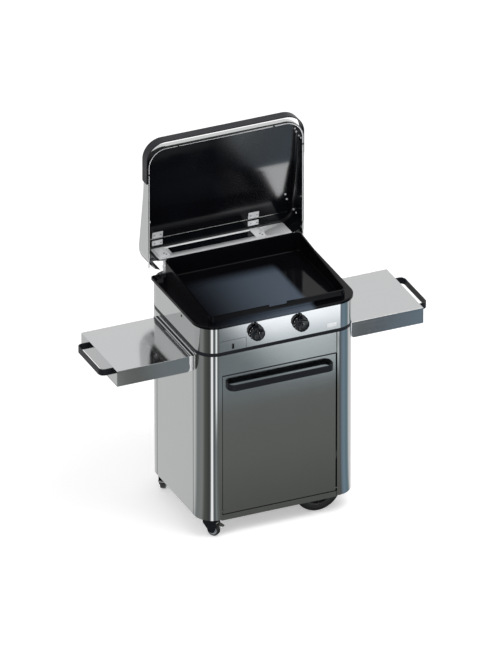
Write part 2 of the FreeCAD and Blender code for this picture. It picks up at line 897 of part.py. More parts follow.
def wall_rail(label, side):
    """The channel on the trolley's side, with two ears and studs that carry a shelf."""
    bottom = s.wall_rail_top - s.wall_rail_height
    wall = s.frame_steel
    body = new_body(label + "_channel")
    half = s.shelf_depth / 2
    near = side * half_width
    far = side * rail_face
    inner = side * (rail_face - wall)
    sketch = new_sketch(body, "XZ", half)
    outline(sketch, [
        (near, bottom), (far, bottom), (far, s.wall_rail_top), (near, s.wall_rail_top),
        (near, s.wall_rail_top - wall), (inner, s.wall_rail_top - wall),
        (inner, bottom + wall), (near, bottom + wall)])
    pad(body, sketch, s.shelf_depth)
    parts = [body]
    ear_radius = s.shelf_pivot_up - s.shelf_gap
    for end in (-1, 1):
        name = label + ("_ear_rear" if end > 0 else "_ear_front")
        ear = new_body(name)
        outer = end * (half - s.pivot_ear_inset)
        low_y = outer - s.pivot_ear if end > 0 else outer
        shape = new_sketch(ear, "XZ", low_y + s.pivot_ear)
        tip = side * (shelf_pivot_x + ear_radius)
        low_z = shelf_pivot_z - ear_radius + s.shelf_gap
        high_z = shelf_pivot_z + ear_radius
        outline(shape, [(inner, low_z), (tip, low_z, ear_radius * 0.8),
                        (tip, high_z, ear_radius * 0.8), (inner, high_z)])
        pad(ear, shape, s.pivot_ear)
        stud_length = s.pivot_ear_inset + s.pivot_ear + s.shelf_gap
        stud_start = low_y if end > 0 else low_y + s.pivot_ear - stud_length
        stud = rod(name + "_stud", (side * shelf_pivot_x, stud_start, shelf_pivot_z), "Y",
                   s.pivot_radius, stud_length)
        parts.extend([ear, stud])
    finish(fuse(label + "_welded", parts), label)


def shelf(label, side):
    """A folded tray, open below and at its inner end, that pivots on the rail's studs."""
    body = new_body(label)
    half = s.shelf_depth / 2
    near = side * shelf_start
    far = side * shelf_end
    bottom = s.shelf_top - s.shelf_skirt
    wall = s.skin_steel
    sketch = new_sketch(body, "XZ", half)
    outline(sketch, [(near, bottom, s.shelf_heel), (far, bottom), (far, s.shelf_top),
                     (near, s.shelf_top)])
    pad(body, sketch, s.shelf_depth)
    hollow = new_sketch(body, "XZ", half - wall)
    rectangle(hollow, side * (shelf_start - PAST), bottom - PAST, side * (shelf_end - wall),
              s.shelf_top - wall)
    pocket(body, hollow, s.shelf_depth - wall * 2, back=True)
    holes = new_sketch(body, "XZ")
    circle(holes, side * shelf_pivot_x, shelf_pivot_z, s.pivot_radius + s.running_gap)
    base = pocket(body, holes, s.shelf_depth + PAST, midplane=True)

    def top_edge(edge):
        flat = edge.BoundBox.ZMin > s.shelf_top.value - NEAR
        outer_end = abs(edge.CenterOfMass.x - far.value) < NEAR
        outer_side = abs(abs(edge.CenterOfMass.y) - half.value) < NEAR
        return flat and (outer_end or outer_side)

    round_edges(body, base, s.shelf_bend, top_edge)
    finish(body, label)


def shelf_handle(label, side):
    """The flat-band towel rail on a shelf's outer end."""
    body = new_body(label)
    sketch = new_sketch(body, "XY", s.shelf_top - s.shelf_handle_drop - s.handle_band)
    foot = side * shelf_end
    tip = side * (shelf_end + s.shelf_handle_reach)
    turned = [(corner[1], corner[0]) + corner[2:]
              for corner in u_band(s.shelf_handle_width / 2, foot, tip,
                                   s.shelf_handle_radius, side)]
    outline(sketch, turned)
    pad(body, sketch, s.handle_band)
    finish(body, label)


# Wheels and casters

def wheel_axle():
    """The round bar that both big wheels turn on."""
    reach = wheel_face + s.axle_end
    finish(rod("wheel_axle", (wheel_x, -reach, s.wheel_radius), "Y", s.axle_radius,
               reach * 2), "wheel_axle")


def axle_brackets():
    """Hangers under the floor that hold the axle."""
    brackets = []
    for end in (-1, 1):
        body = new_body("axle_bracket_%s" % ("rear" if end > 0 else "front"))
        half = s.axle_bracket_width / 2
        middle = wheel_face - s.wheel_width - s.axle_bracket_gap
        sketch = new_sketch(body, "XZ", end * middle + s.axle_bracket_steel / 2)
        low = s.wheel_radius - s.axle_radius * 2.5
        outline(sketch, [
            (wheel_x - half, s.floor_top - s.frame_steel),
            (wheel_x - half, low, half * 0.6), (wheel_x + half, low, half * 0.6),
            (wheel_x + half, s.floor_top - s.frame_steel)])
        circle(sketch, wheel_x, s.wheel_radius, s.axle_radius)
        pad(body, sketch, s.axle_bracket_steel)
        brackets.append(body)
    finish(group("axle_bracket_pair", brackets), "axle_brackets")


def big_wheel(label, end):
    """A moulded wheel: a rounded tyre, a thin web with ribs on both faces, and a long hub."""
    body = new_body(label)
    half = s.wheel_width / 2
    bore = s.axle_radius + s.running_gap
    hub = s.axle_radius * 3
    rim = s.wheel_radius - s.wheel_rim_depth
    web = s.wheel_web
    face = half * 0.9
    sketch = new_sketch(body, "XY")
    outline(sketch, [
        (bore, -half), (hub, -half), (hub, -web), (rim - web, -web), (rim - web, web - half),
        (rim, -face), (s.wheel_radius, -face, s.wheel_shoulder),
        (s.wheel_radius, face, s.wheel_shoulder), (rim, face), (rim - web, half - web),
        (rim - web, web), (hub, web), (hub, half), (bore, half)])
    revolve(body, sketch, "Y")
    rib = new_sketch(body, "XZ")
    rectangle(rib, hub - s.wheel_rib / 2, -s.wheel_rib / 2, rim - web / 2, s.wheel_rib / 2)
    spoke = pad(body, rib, (half - web) * 2, midplane=True)
    around(body, spoke, label + "_ribs", s.wheel_rib_count)
    middle = end * (wheel_face - half)
    finish(place(body, wheel_x, middle, s.wheel_radius), label)


def caster_plates():
    """Top plates of the casters, each with the kingpin that its fork turns on."""
    plates = []
    for end in (-1, 1):
        body = new_body("caster_plate_%s" % ("rear" if end > 0 else "front"))
        top = new_sketch(body, "XY", s.caster_height - s.caster_plate_steel)
        circle(top, 0, 0, s.caster_plate_radius)
        pad(body, top, s.caster_plate_steel)
        pin = new_sketch(body, "XZ")
        foot = s.caster_crown - s.small_gap
        outline(pin, [
            (0, s.caster_height - s.caster_plate_steel / 2),
            (s.kingpin_radius, s.caster_height - s.caster_plate_steel / 2),
            (s.kingpin_radius, foot), (s.kingpin_head, foot),
            (s.kingpin_head, foot - s.caster_plate_steel), (0, foot - s.caster_plate_steel)])
        revolve(body, pin, "Z")
        plates.append(place(body, -caster_x, end * caster_y, 0))
    finish(group("caster_plate_pair", plates), "caster_plates")


def caster_fork(label, end):
    """A pressed fork with a thick crown, its axle rivet and the pin of the brake pedal."""
    body = new_body(label)
    width = s.caster_fork_inner + s.caster_leg * 2
    top = s.caster_height - s.caster_plate_steel - s.small_gap
    shoulder = top - s.race_height
    axle_y = -s.caster_trail
    bend = s.fork_round
    rear = pedal_pin_y - s.fork_rear
    foot = s.caster_radius - s.fork_eye
    side = new_sketch(body, "YZ")
    outline(side, [
        (s.fork_front, shoulder, bend), (rear, shoulder, bend),
        (rear, pedal_pin_z - s.fork_skirt, bend), (axle_y - s.fork_eye, foot, s.fork_skirt),
        (axle_y + s.fork_eye, foot, s.fork_skirt), (s.fork_front, pedal_pin_z - bend, bend)])
    pad(body, side, width, midplane=True)
    slot = new_sketch(body, "YZ")
    rectangle(slot, rear - s.pedal_length, foot - s.caster_radius, s.fork_front * 2,
              s.caster_crown)
    pocket(body, slot, s.caster_fork_inner, midplane=True)
    race = new_sketch(body, "XY", shoulder - s.small_gap)
    circle(race, 0, 0, s.race_radius)
    pad(body, race, s.race_height + s.small_gap)
    bore = new_sketch(body, "XY", top)
    circle(bore, 0, 0, s.kingpin_radius + s.running_gap)
    pocket(body, bore)
    for y, z, radius in ((axle_y, s.caster_radius, s.caster_axle_radius),
                         (pedal_pin_y, pedal_pin_z, s.pedal_pin_radius)):
        pin = new_sketch(body, "YZ")
        circle(pin, y, z, radius)
        pad(body, pin, width + s.caster_leg, midplane=True)
    finish(turned_caster(body, end), label)


def turned_caster(body, end, local_y=0, local_z=0):
    """Put a piece of a caster under the trolley, with the fork trailing to one side."""
    side = -end
    x = side * -local_y * turned("sin") - caster_x
    y = local_y * turned("cos") + end * caster_y
    return place(body, x, y, local_z, (0, 0, 1), side * s.caster_turn.value)


def turned(ratio):
    """The sine or cosine of the angle by which the casters are turned."""
    angle = math.radians(s.caster_turn.value)
    value = math.sin(angle) if ratio == "sin" else math.cos(angle)
    return Size(value, "%s(Sizes.caster_turn * 1 deg)" % ratio)


def caster_wheel(label, end):
    """A small wheel with a crowned tread and recessed faces."""
    body = new_body(label)
    half = s.caster_tread / 2
    bore = s.caster_axle_radius + s.running_gap
    radius = s.caster_radius
    out = s.caster_hub_out
    hub = bore + out * 2
    dish = radius - s.caster_rim_depth
    tyre = dish + out
    sketch = new_sketch(body, "XY")
    outline(sketch, [
        (-half - out, bore), (-half - out, bore + out), (out - half, hub), (out - half, dish),
        (-half, tyre), (-half, radius, s.caster_shoulder), (half, radius, s.caster_shoulder),
        (half, tyre), (half - out, dish), (half - out, hub), (half + out, bore + out),
        (half + out, bore)])
    revolve(body, sketch, "X")
    finish(turned_caster(body, end, -s.caster_trail, s.caster_radius), label)


def brake_pedal(label, end):
    """A pressed pedal on a barrel between the legs of a caster's fork."""
    body = new_body(label)
    width = s.caster_fork_inner - s.small_gap * 3
    top = pedal_pin_z + s.small_gap * 3
    heel = pedal_pin_y - s.pedal_heel
    tail = pedal_pin_y - s.pedal_length
    steel = s.pedal_steel
    side = new_sketch(body, "YZ")
    outline(side, [
        (pedal_pin_y, top), (heel, top, s.fork_round), (tail, top - s.pedal_fall, steel * 0.4),
        (tail, top - s.pedal_fall - steel, steel * 0.4), (heel, top - steel, s.fork_round),
        (pedal_pin_y, top - steel)])
    pad(body, side, width, midplane=True)
    barrel = new_sketch(body, "YZ")
    circle(barrel, pedal_pin_y, pedal_pin_z, s.pedal_barrel_radius)
    pad(body, barrel, width, midplane=True)
    bore = new_sketch(body, "YZ")
    circle(bore, pedal_pin_y, pedal_pin_z, s.pedal_pin_radius + s.running_gap)
    pocket(body, bore, width + PAST, midplane=True)
    finish(turned_caster(body, end), label)


# Griddle housing and gas train

def griddle_housing():
    """The round-cornered casing, with lips turned in above and below."""
    body = new_body("griddle_housing")
    wall = s.frame_steel
    sketch = new_sketch(body, "XY", housing_bottom)
    rectangle(sketch, -half_width, -half_depth, half_width, half_depth, s.corner_radius)
    pad(body, sketch, s.housing_height)
    inside = new_sketch(body, "XY", housing_top - wall)
    rectangle(inside, wall - half_width, wall - half_depth, half_width - wall,
              half_depth - wall, s.corner_radius - wall)
    pocket(body, inside, s.housing_height - wall * 2)
    below = new_sketch(body, "XY", housing_bottom + wall + PAST)
    lip = s.housing_lip
    rectangle(below, lip - half_width, lip - half_depth, half_width - lip, half_depth - lip,
              s.corner_radius - lip)
    pocket(body, below)
    above = new_sketch(body, "XY", housing_top)
    hem = s.small_gap * 3
    rectangle(above, hem - cook_side, lip - half_depth, cook_side - hem, cook_rear - hem,
              s.plate_tray_radius)
    pocket(body, above, wall)
    front = new_sketch(body, "XY", housing_top + PAST)
    reach = panel_half + s.small_gap
    rectangle(front, -reach, -half_depth - PAST, reach, lip - half_depth + s.small_gap)
    pocket(body, front)
    rear = new_sketch(body, "XZ", half_depth - wall - PAST)
    circle(rear, manifold_right, manifold_z, s.manifold_radius + s.small_gap)
    pocket(body, rear, wall + PAST * 2)
    finish(body, "griddle_housing")


def control_panel():
    """The front panel: a folded channel with two spindle holes and the drawer's cut-out."""
    body = new_body("control_panel")
    wall = s.frame_steel
    rear = s.housing_lip - half_depth
    sketch = new_sketch(body, "YZ", -panel_half)
    outline(sketch, [
        (rear, housing_bottom), (rear, housing_bottom + wall),
        (wall - half_depth, housing_bottom + wall), (wall - half_depth, housing_top - wall),
        (rear, housing_top - wall), (rear, housing_top),
        (-half_depth, housing_top), (-half_depth, housing_bottom)])
    pad(body, sketch, panel_half * 2)
    holes = new_sketch(body, "XZ", -half_depth - PAST)
    for x in (s.knob_left_x, s.knob_right_x):
        circle(holes, x, s.knob_z, s.spindle_hole)
    pocket(body, holes, wall + PAST * 2)
    window = new_sketch(body, "XZ", -half_depth - PAST)
    rectangle(window, -drawer_left - s.seam, housing_bottom - PAST, s.seam - drawer_right,
              housing_bottom + s.drawer_height + s.seam)
    pocket(body, window, s.housing_lip + PAST * 2)
    finish(body, "control_panel")


def floor_pan():
    """The heat shield that closes the casing below, with guides for the grease drawer."""
    body = new_body("pan_sheet")
    inset = s.frame_steel + s.small_gap
    reach = half_width - inset
    front = s.housing_lip - half_depth + s.small_gap * 2
    sketch = new_sketch(body, "XY", housing_bottom + s.frame_steel)
    rectangle(sketch, -reach, front, reach, half_depth - inset, s.corner_radius - inset)
    pad(body, sketch, s.skin_steel)
    parts = [body]
    left = s.drawer_side_gap - drawer_left - s.small_gap
    right = -drawer_right - s.drawer_side_gap + s.small_gap
    spans = ((left - s.skin_steel, left), (right, right + s.skin_steel))
    for i, (low, high) in enumerate(spans):
        parts.append(block("drawer_guide_%d" % i, (low, front, pan_top - s.skin_steel / 2),
                           (high, s.drawer_length - half_depth, pan_top + s.drawer_guide)))
    finish(fuse("pan_and_guides", parts), "floor_pan")


def burner(label, start_x, way):
    """A stainless tube bent to a U, open at its front end where the gas jet enters."""
    body = new_body(label)
    path = new_sketch(body, "XY", s.knob_z)
    far_x = start_x + way * s.burner_turn * 2
    near_x = number(start_x)
    back = burner_back
    tail = burner_start + s.burner_tail_gap
    first = path.addGeometry(Part.LineSegment(
        FreeCAD.Vector(near_x, burner_start.value, 0),
        FreeCAD.Vector(near_x, back.value, 0)), False)
    centre = FreeCAD.Vector(near_x + way * s.burner_turn.value, back.value, 0)
    bend = path.addGeometry(Part.ArcOfCircle(
        Part.Circle(centre, FreeCAD.Vector(0, 0, 1), s.burner_turn.value),
        0, FULL_TURN / 2), False)
    last = path.addGeometry(Part.LineSegment(
        FreeCAD.Vector(number(far_x), back.value, 0),
        FreeCAD.Vector(number(far_x), tail.value, 0)), False)
    fix_point(path, first, 1, start_x, burner_start)
    fix_point(path, first, 2, start_x, back)
    fix_point(path, last, 1, far_x, back)
    fix_point(path, last, 2, far_x, tail)
    near_end = 1 if way < 0 else 2
    path.addConstraint(Sketcher.Constraint("Tangent", first, 2, bend, near_end))
    path.addConstraint(Sketcher.Constraint("Coincident", bend, 3 - near_end, last, 1))
    section = new_sketch(body, "XZ", burner_start)
    circle(section, start_x, s.knob_z, s.burner_radius)
    tube = body.newObject("PartDesign::AdditivePipe", label + "_tube")
    tube.Profile = section
    tube.Spine = (path, [])
    mouth = new_sketch(body, "XZ", burner_start)
    circle(mouth, start_x, s.knob_z, s.burner_bore)
    pocket(body, mouth, s.burner_radius * 2)
    feet = new_sketch(body, "XY", pan_top)
    half = s.burner_radius * 0.7
    foot = burner_start + s.burner_foot_front
    rectangle(feet, start_x - half, foot, start_x + half, foot + s.burner_foot)
    low_x = start_x if way > 0 else far_x
    high_x = far_x if way > 0 else start_x
    rectangle(feet, low_x - half, back, high_x + half, back + s.burner_foot)
    pad(body, feet, s.knob_z - s.burner_radius * 0.5 - pan_top)
    finish(body, label)


def gas_manifold():
    """The gas pipe under the valves, bent back to a threaded inlet behind the casing."""
    body = new_body("gas_manifold")
    path = new_sketch(body, "XY", manifold_z)
    end_y = half_depth + s.inlet_reach - s.inlet_thread
    bend = s.manifold_radius * 2.5
    left = manifold_left
    corner_x = manifold_right
    first = path.addGeometry(Part.LineSegment(
        FreeCAD.Vector(left.value, manifold_y.value, 0),
        FreeCAD.Vector(corner_x.value - bend.value, manifold_y.value, 0)), False)
    ring_line = Part.Circle(
        FreeCAD.Vector(corner_x.value - bend.value, manifold_y.value + bend.value, 0),
        FreeCAD.Vector(0, 0, 1), bend.value)
    turn = path.addGeometry(Part.ArcOfCircle(ring_line, -FULL_TURN / 4, 0), False)
    last = path.addGeometry(Part.LineSegment(
        FreeCAD.Vector(corner_x.value, manifold_y.value + bend.value, 0),
        FreeCAD.Vector(corner_x.value, end_y.value, 0)), False)
    fix_point(path, first, 1, left, manifold_y)
    fix_point(path, first, 2, corner_x - bend, manifold_y)
    fix_point(path, last, 1, corner_x, manifold_y + bend)
    fix_point(path, last, 2, corner_x, end_y)
    path.addConstraint(Sketcher.Constraint("Coincident", turn, 1, first, 2))
    path.addConstraint(Sketcher.Constraint("Coincident", turn, 2, last, 1))
    fix_radius(path, turn, bend)
    section = new_sketch(body, "YZ", left)
    circle(section, manifold_y, manifold_z, s.manifold_radius)
    tube = body.newObject("PartDesign::AdditivePipe", "manifold_tube")
    tube.Profile = section
    tube.Spine = (path, [])
    nipple = new_sketch(body, "XZ", end_y)
    circle(nipple, corner_x, manifold_z, s.inlet_radius)
    pad(body, nipple, s.inlet_thread, back=True)
    bore = new_sketch(body, "XZ", end_y - s.inlet_thread)
    circle(bore, corner_x, manifold_z, s.inlet_bore)
    pocket(body, bore, s.inlet_thread * 3)
    finish(body, "gas_manifold")


def valve_body(label, x):
    """A gas tap: a barrel for the plug, a stub on the manifold and a jet behind."""
    length = s.valve_length
    barrel = rod(label + "_barrel", (x, valve_start, s.knob_z), "Y", s.valve_radius, length)
    jet = rod(label + "_jet", (x, valve_start + length, s.knob_z), "Y", s.jet_radius,
              s.jet_length)
    neck = rod(label + "_neck", (x, manifold_y, manifold_z), "Z", s.manifold_radius * 0.75,
               s.manifold_drop)
    shell = fuse(label + "_cast", [barrel, jet, neck])
    plug_room = rod(label + "_room", (x, valve_start - PAST, s.knob_z), "Y",
                    s.plug_radius + s.running_gap, s.plug_length + PAST + s.small_gap)
    seat = rod(label + "_seat", (x - s.valve_radius * 2, manifold_y, manifold_z), "X",
               s.manifold_radius, s.valve_radius * 4)
    finish(cut(label + "_bored", shell, [plug_room, seat]), label)


def valve_plug(label, x):
    """The turning plug inside a tap, with the socket that its spindle slides in."""
    plug = rod(label + "_blank", (x, valve_start, s.knob_z), "Y", s.plug_radius, s.plug_length)
    socket = rod(label + "_socket", (x, valve_start - PAST, s.knob_z), "Y",
                 s.spindle_radius + s.running_gap, s.spindle_depth + s.knob_back_gap + PAST)
    finish(cut(label + "_bored", plug, [socket]), label)


def knob_spindle(label, x):
    """The rod that carries a knob and slides in the tap's plug."""
    start = knob_back - s.knob_front * 0.45
    length = valve_start + s.spindle_depth - start
    finish(rod(label, (x, start, s.knob_z), "Y", s.spindle_radius, length), label)


def knob(label, x):
    """A turned knob: a wide skirt, a raised scalloped grip and a pointer nose at the base."""
    body = new_body(label)
    tip = -s.knob_front + s.knob_back_gap
    rim = s.knob_radius
    grip = s.knob_grip_radius
    bevel = s.knob_skirt_round
    fall = s.knob_skirt_fall
    skirt = -s.knob_skirt
    profile = new_sketch(body, "XY")
    outline(profile, [
        (0, 0), (rim - bevel, 0), (rim, -bevel), (rim, skirt + fall * 1.3),
        (rim - fall, skirt, fall), (grip + bevel, skirt - bevel, bevel), (grip, tip + bevel),
        (grip - bevel, tip), (0, tip)])
    revolve(body, profile, "Y")
    nose = new_sketch(body, "XZ", 0)
    half = s.knob_nose_width / 2
    outline(nose, [
        (-half, rim * 0.6), (half, rim * 0.6), (half, rim, bevel),
        (half * 0.3, s.knob_nose, bevel), (-half * 0.3, s.knob_nose, bevel), (-half, rim, bevel)])
    pad(body, nose, s.knob_nose_steel)
    scallop = new_sketch(body, "XZ", tip - PAST)
    circle(scallop, grip + s.knob_scallop_out, 0, s.knob_scallop)
    groove = pocket(body, scallop, PAST + skirt - tip - bevel)
    around(body, groove, label + "_scallops", s.knob_scallop_count)
    bore = new_sketch(body, "XZ", PAST)
    circle(bore, 0, 0, s.spindle_radius)
    body.Tip = pocket(body, bore, s.knob_front * 0.45 + PAST, back=True)
    finish(place(body, x, knob_back, s.knob_z), label)


def drawer_front():
    """The flush front of the grease drawer, with an upright finger slot."""
    body = new_body("drawer_front")
    wall = s.frame_steel
    bottom = housing_bottom + s.small_gap
    top = housing_bottom + s.drawer_height
    sketch = new_sketch(body, "XZ", wall - half_depth)
    rectangle(sketch, -drawer_left, bottom, -drawer_right, top)
    middle = (drawer_left + drawer_right) / -2
    half = s.finger_slot_width / 2
    rectangle(sketch, middle - half, bottom + s.finger_slot_rise, middle + half,
              bottom + s.finger_slot_rise + s.finger_slot_height, half * 0.96)
    pad(body, sketch, wall)
    finish(body, "drawer_front")


def drawer_tray():
    """The sliding trough that catches the grease, with room for a finger before it."""
    body = new_body("drawer_tray")
    wall = s.skin_steel
    left = s.drawer_side_gap - drawer_left
    right = -drawer_right - s.drawer_side_gap
    front = s.frame_steel - half_depth
    bottom = pan_top + s.small_gap
    sketch = new_sketch(body, "XY", bottom)
    rectangle(sketch, left, front, right, front + s.drawer_length)
    pad(body, sketch, s.drawer_tray_height)
    hollow = new_sketch(body, "XY", bottom + s.drawer_tray_height)
    room = front + s.finger_room
    rectangle(hollow, left + wall, front - PAST, right - wall, room)
    rectangle(hollow, left + wall, room + wall, right - wall, front + s.drawer_length - wall)
    pocket(body, hollow, s.drawer_tray_height - wall)
    finish(body, "drawer_tray")


def griddle_plate():
    """The enamelled cooking plate: a sloped tray in a wide flange, ribbed below."""
    body = new_body("griddle_plate")
    reach = half_width + s.plate_overhang
    front = -half_depth - s.plate_overhang
    rear = half_depth - s.plate_rear_margin
    corner = s.corner_radius + s.plate_overhang
    small = s.plate_rear_radius
    sketch = new_sketch(body, "XY", plate_bottom)
    outline(sketch, [(-reach, front, corner), (reach, front, corner), (reach, rear, small),
                     (-reach, rear, small)])
    flange = pad(body, sketch, s.plate_rim)

    def outer_top(edge):
        box = edge.BoundBox
        return box.ZMin > plate_top.value - NEAR and box.YMin < rear.value - NEAR

    round_edges(body, flange, s.plate_rim_round, outer_top)
    low = -cook_front
    high = cook_rear
    peak = s.plate_rear_top
    tray = new_sketch(body, "XY", plate_bottom)
    rectangle(tray, -cook_side, low, cook_side, high, s.plate_tray_radius)
    pad(body, tray, peak - plate_bottom)
    slope = new_sketch(body, "YZ")
    outline(slope, [(low - PAST, s.plate_front_top), (low, s.plate_front_top), (high, peak),
                    (high, peak + PAST), (low - PAST, peak + PAST)])
    pocket(body, slope, (cook_side + PAST) * 2, midplane=True)
    wall = s.plate_wall
    hollow = new_sketch(body, "XY", peak + PAST)
    rectangle(hollow, wall - cook_side, low + wall, cook_side - wall, high - wall,
              s.plate_tray_radius - wall)
    dished = pocket(body, hollow, peak + PAST - plate_bottom - s.plate_floor)

    def floor_corner(edge):
        box = edge.BoundBox
        level = box.ZLength < NEAR and abs(box.ZMin - cook_floor.value) < NEAR
        return level and box.XLength < (cook_side.value - wall.value) * 2 + NEAR

    round_edges(body, dished, s.plate_floor_round, floor_corner)
    notch = new_sketch(body, "XZ", low - PAST)
    half = s.plate_notch_width / 2
    rectangle(notch, -half, s.plate_front_top - s.plate_notch_depth, half,
              s.plate_front_top + PAST * 2)
    pocket(body, notch, wall + PAST * 2)
    under = new_sketch(body, "XY", plate_bottom)
    lip = s.plate_lip
    outline(under, [
        (lip - reach, front + lip, corner - lip), (reach - lip, front + lip, corner - lip),
        (reach - lip, rear - lip, small - lip), (lip - reach, rear - lip, small - lip)])
    rib_x = cook_side + s.plate_rib_out
    rectangle(under, -rib_x, low - s.plate_rib, rib_x, high + s.plate_rib, s.plate_tray_radius)
    pocket(body, under, s.plate_rim - s.plate_sheet, back=True)
    hole_x = (drawer_left + drawer_right) / -2
    hole_y = low + s.grease_inset
    spout = new_sketch(body, "XY", cook_floor)
    circle(spout, hole_x, hole_y, s.grease_hole + s.grease_spout)
    pad(body, spout, s.grease_spout_length + s.plate_floor, back=True)
    drain = new_sketch(body, "XY", cook_floor + PAST)
    circle(drain, hole_x, hole_y, s.grease_hole)
    pocket(body, drain)
    finish(body, "griddle_plate")


# Lid

def lid_block(body, inset, rear_inset):
    """The lid's outer form as a solid, shrunk evenly by an inset."""
    half = lid_half - inset
    front = inset - lid_end
    rear = lid_end - rear_inset
    sketch = new_sketch(body, "XY", s.lid_rim)
    front_radius = s.lid_front_radius - inset
    rear_radius = s.lid_rear_radius - inset
    outline(sketch, [(-half, front, front_radius), (half, front, front_radius),
                     (half, rear, rear_radius), (-half, rear, rear_radius)])
    pad(body, sketch, s.lid_crest_height - inset)
    top = new_sketch(body, "YZ")
    rim = s.lid_rim - inset
    crest = rim + s.lid_crest_height
    start = -lid_end - PAST
    end = lid_end + s.lid_crest_radius
    over = crest + s.lid_crest_radius
    outline(top, [
        (start, rim + s.lid_front_height),
        (s.lid_bend_y, rim + s.lid_bend_height, s.lid_bend_radius),
        (lid_crest_y, crest, s.lid_crest_radius), (end, crest), (end, over), (start, over)])
    return pocket(body, top, (lid_half + PAST) * 2, midplane=True)


def top_rim(inset):
    """A test for the edges where the lid's walls meet its top."""
    lowest = s.lid_rim.value + s.lid_front_height.value - inset - s.lid_wall.value * 2
    widest = lid_half.value * 2 - s.lid_wall.value * 2
    front = lid_end.value - s.lid_wall.value * 3

    def test(edge):
        box = edge.BoundBox
        upright = box.ZLength > s.lid_wall.value and box.XLength < NEAR and box.YLength < NEAR
        across = box.XLength > widest and abs(box.YMin) < front
        return box.ZMin > lowest and not upright and not across

    return test


def lid_shell():
    """The outer skin of the lid: a wedge with round corners, open below and cut out behind."""
    body = new_body("lid_shell")
    sloped = lid_block(body, 0, 0)
    rounded = round_edges(body, sloped, s.lid_edge_radius, top_rim(0))
    hollow_lid(body, rounded, s.lid_wall)
    gap = new_sketch(body, "XZ", lid_back_y)
    reach = lid_half - s.lid_return
    rectangle(gap, -reach, s.lid_rim - PAST, reach, s.lid_rim + s.lid_return_top)
    body.Tip = pocket(body, gap, lid_end)
    open_lid(body, "lid_shell")


def hollow_lid(body, rounded, wall):
    """Leave a wall of the lid's solid, open below."""
    doc.recompute()
    rim = s.lid_rim.value + NEAR
    faces = ["Face%d" % (i + 1) for i, f in enumerate(rounded.Shape.Faces)
             if f.BoundBox.ZMax < rim]
    hollow = body.newObject("PartDesign::Thickness", body.Name + "_hollow")
    hollow.Base = (rounded, faces)
    hollow.Mode = 0
    hollow.Join = 0
    hollow.Reversed = True
    bind(hollow, Value=wall)
    body.Tip = hollow


def lid_liner():
    """The enamelled inner skin, open below."""
    body = new_body("lid_liner")
    inset = s.lid_wall + s.small_gap
    sloped = lid_block(body, inset, lid_end - lid_back_y + s.seam)
    rounded = round_edges(body, sloped, s.lid_edge_radius - inset, top_rim(inset.value))
    hollow_lid(body, rounded, s.liner_wall)
    open_lid(body, "lid_liner")


def lid_hinge_straps():
    """Short plates riveted inside the liner over each hinge, on the slope and on the crown."""
    straps = []
    inset = s.lid_wall + s.small_gap + s.liner_wall + s.seam * 0.25
    rim = s.lid_rim - inset
    rise = (s.lid_crest_height - s.lid_bend_height) / (lid_crest_y - s.lid_bend_y)
    gap = s.strap_gap / 2
    crown = rim + s.lid_crest_height
    for name, x in (("left", s.hinge_left_x), ("right", s.hinge_right_x)):
        half = s.hinge_leaf_width / 2
        spans = (("crown", lid_crest_y + gap, s.strap_crown, 0),
                 ("slope", lid_crest_y - gap - s.strap_slope, s.strap_slope, rise))
        for part, start, length, slant in spans:
            body = new_body("strap_%s_%s" % (part, name))
            side = new_sketch(body, "YZ", x - half)
            near = crown + slant * (start - lid_crest_y)
            far = crown + slant * (start + length - lid_crest_y)
            outline(side, [(start, near), (start + length, far),
                           (start + length, far - s.strap_steel), (start, near - s.strap_steel)])
            pad(body, side, s.hinge_leaf_width)
            straps.append(body)
    open_lid(group("hinge_strap_set", straps), "lid_hinge_straps")


def lid_rear_plate():
    """The set-back rear sheet of the lid, with a long vent slot."""
    body = new_body("lid_rear_plate")
    half = lid_half - s.lid_back_margin
    low = s.lid_rim
    crown_gap = s.lid_wall + s.small_gap * 3 + s.lid_edge_radius * 0.2
    high = s.lid_rim + s.lid_crest_height - crown_gap
    sketch = new_sketch(body, "XZ", lid_back_y + s.skin_steel)
    rectangle(sketch, -half, low, half, high)
    rectangle(sketch, -s.lid_vent_half, s.lid_rim + s.lid_vent_low, s.lid_vent_half,
              s.lid_rim + s.lid_vent_high, s.lid_edge_radius * 0.5)
    pad(body, sketch, s.skin_steel)
    open_lid(body, "lid_rear_plate")


def lid_handle():
    """The broad band that wraps the lid's front, its arms flat on the lid's sides."""
    body = new_body("lid_handle")
    low = s.lid_rim + s.lid_handle_low
    half = lid_half + s.small_gap + s.handle_steel
    tip = -lid_end - s.lid_handle_gap - s.handle_steel
    sketch = new_sketch(body, "XY", low)
    outline(sketch, u_band(half, -s.lid_handle_arm, tip, s.lid_handle_radius, -1))
    pad(body, sketch, s.lid_handle_band)
    open_lid(body, "lid_handle")


def lid_bumpers():
    """Rubber buttons under the rim on which the shut lid rests."""
    side_x = lid_half - s.bumper_radius
    front_y_of_lid = s.bumper_radius - lid_end
    buttons = []
    for side in (-1, 1):
        spots = ((side * s.bumper_front_x, front_y_of_lid), (side * side_x, -s.bumper_side_y))
        for i, (x, y) in enumerate(spots):
            name = "bumper_%s_%d" % ("right" if side > 0 else "left", i)
            buttons.append(rod(name, (x, y, s.lid_rim - s.bumper_height), "Z",
                               s.bumper_radius, s.bumper_height))
    open_lid(group("bumper_set", buttons), "lid_bumpers")


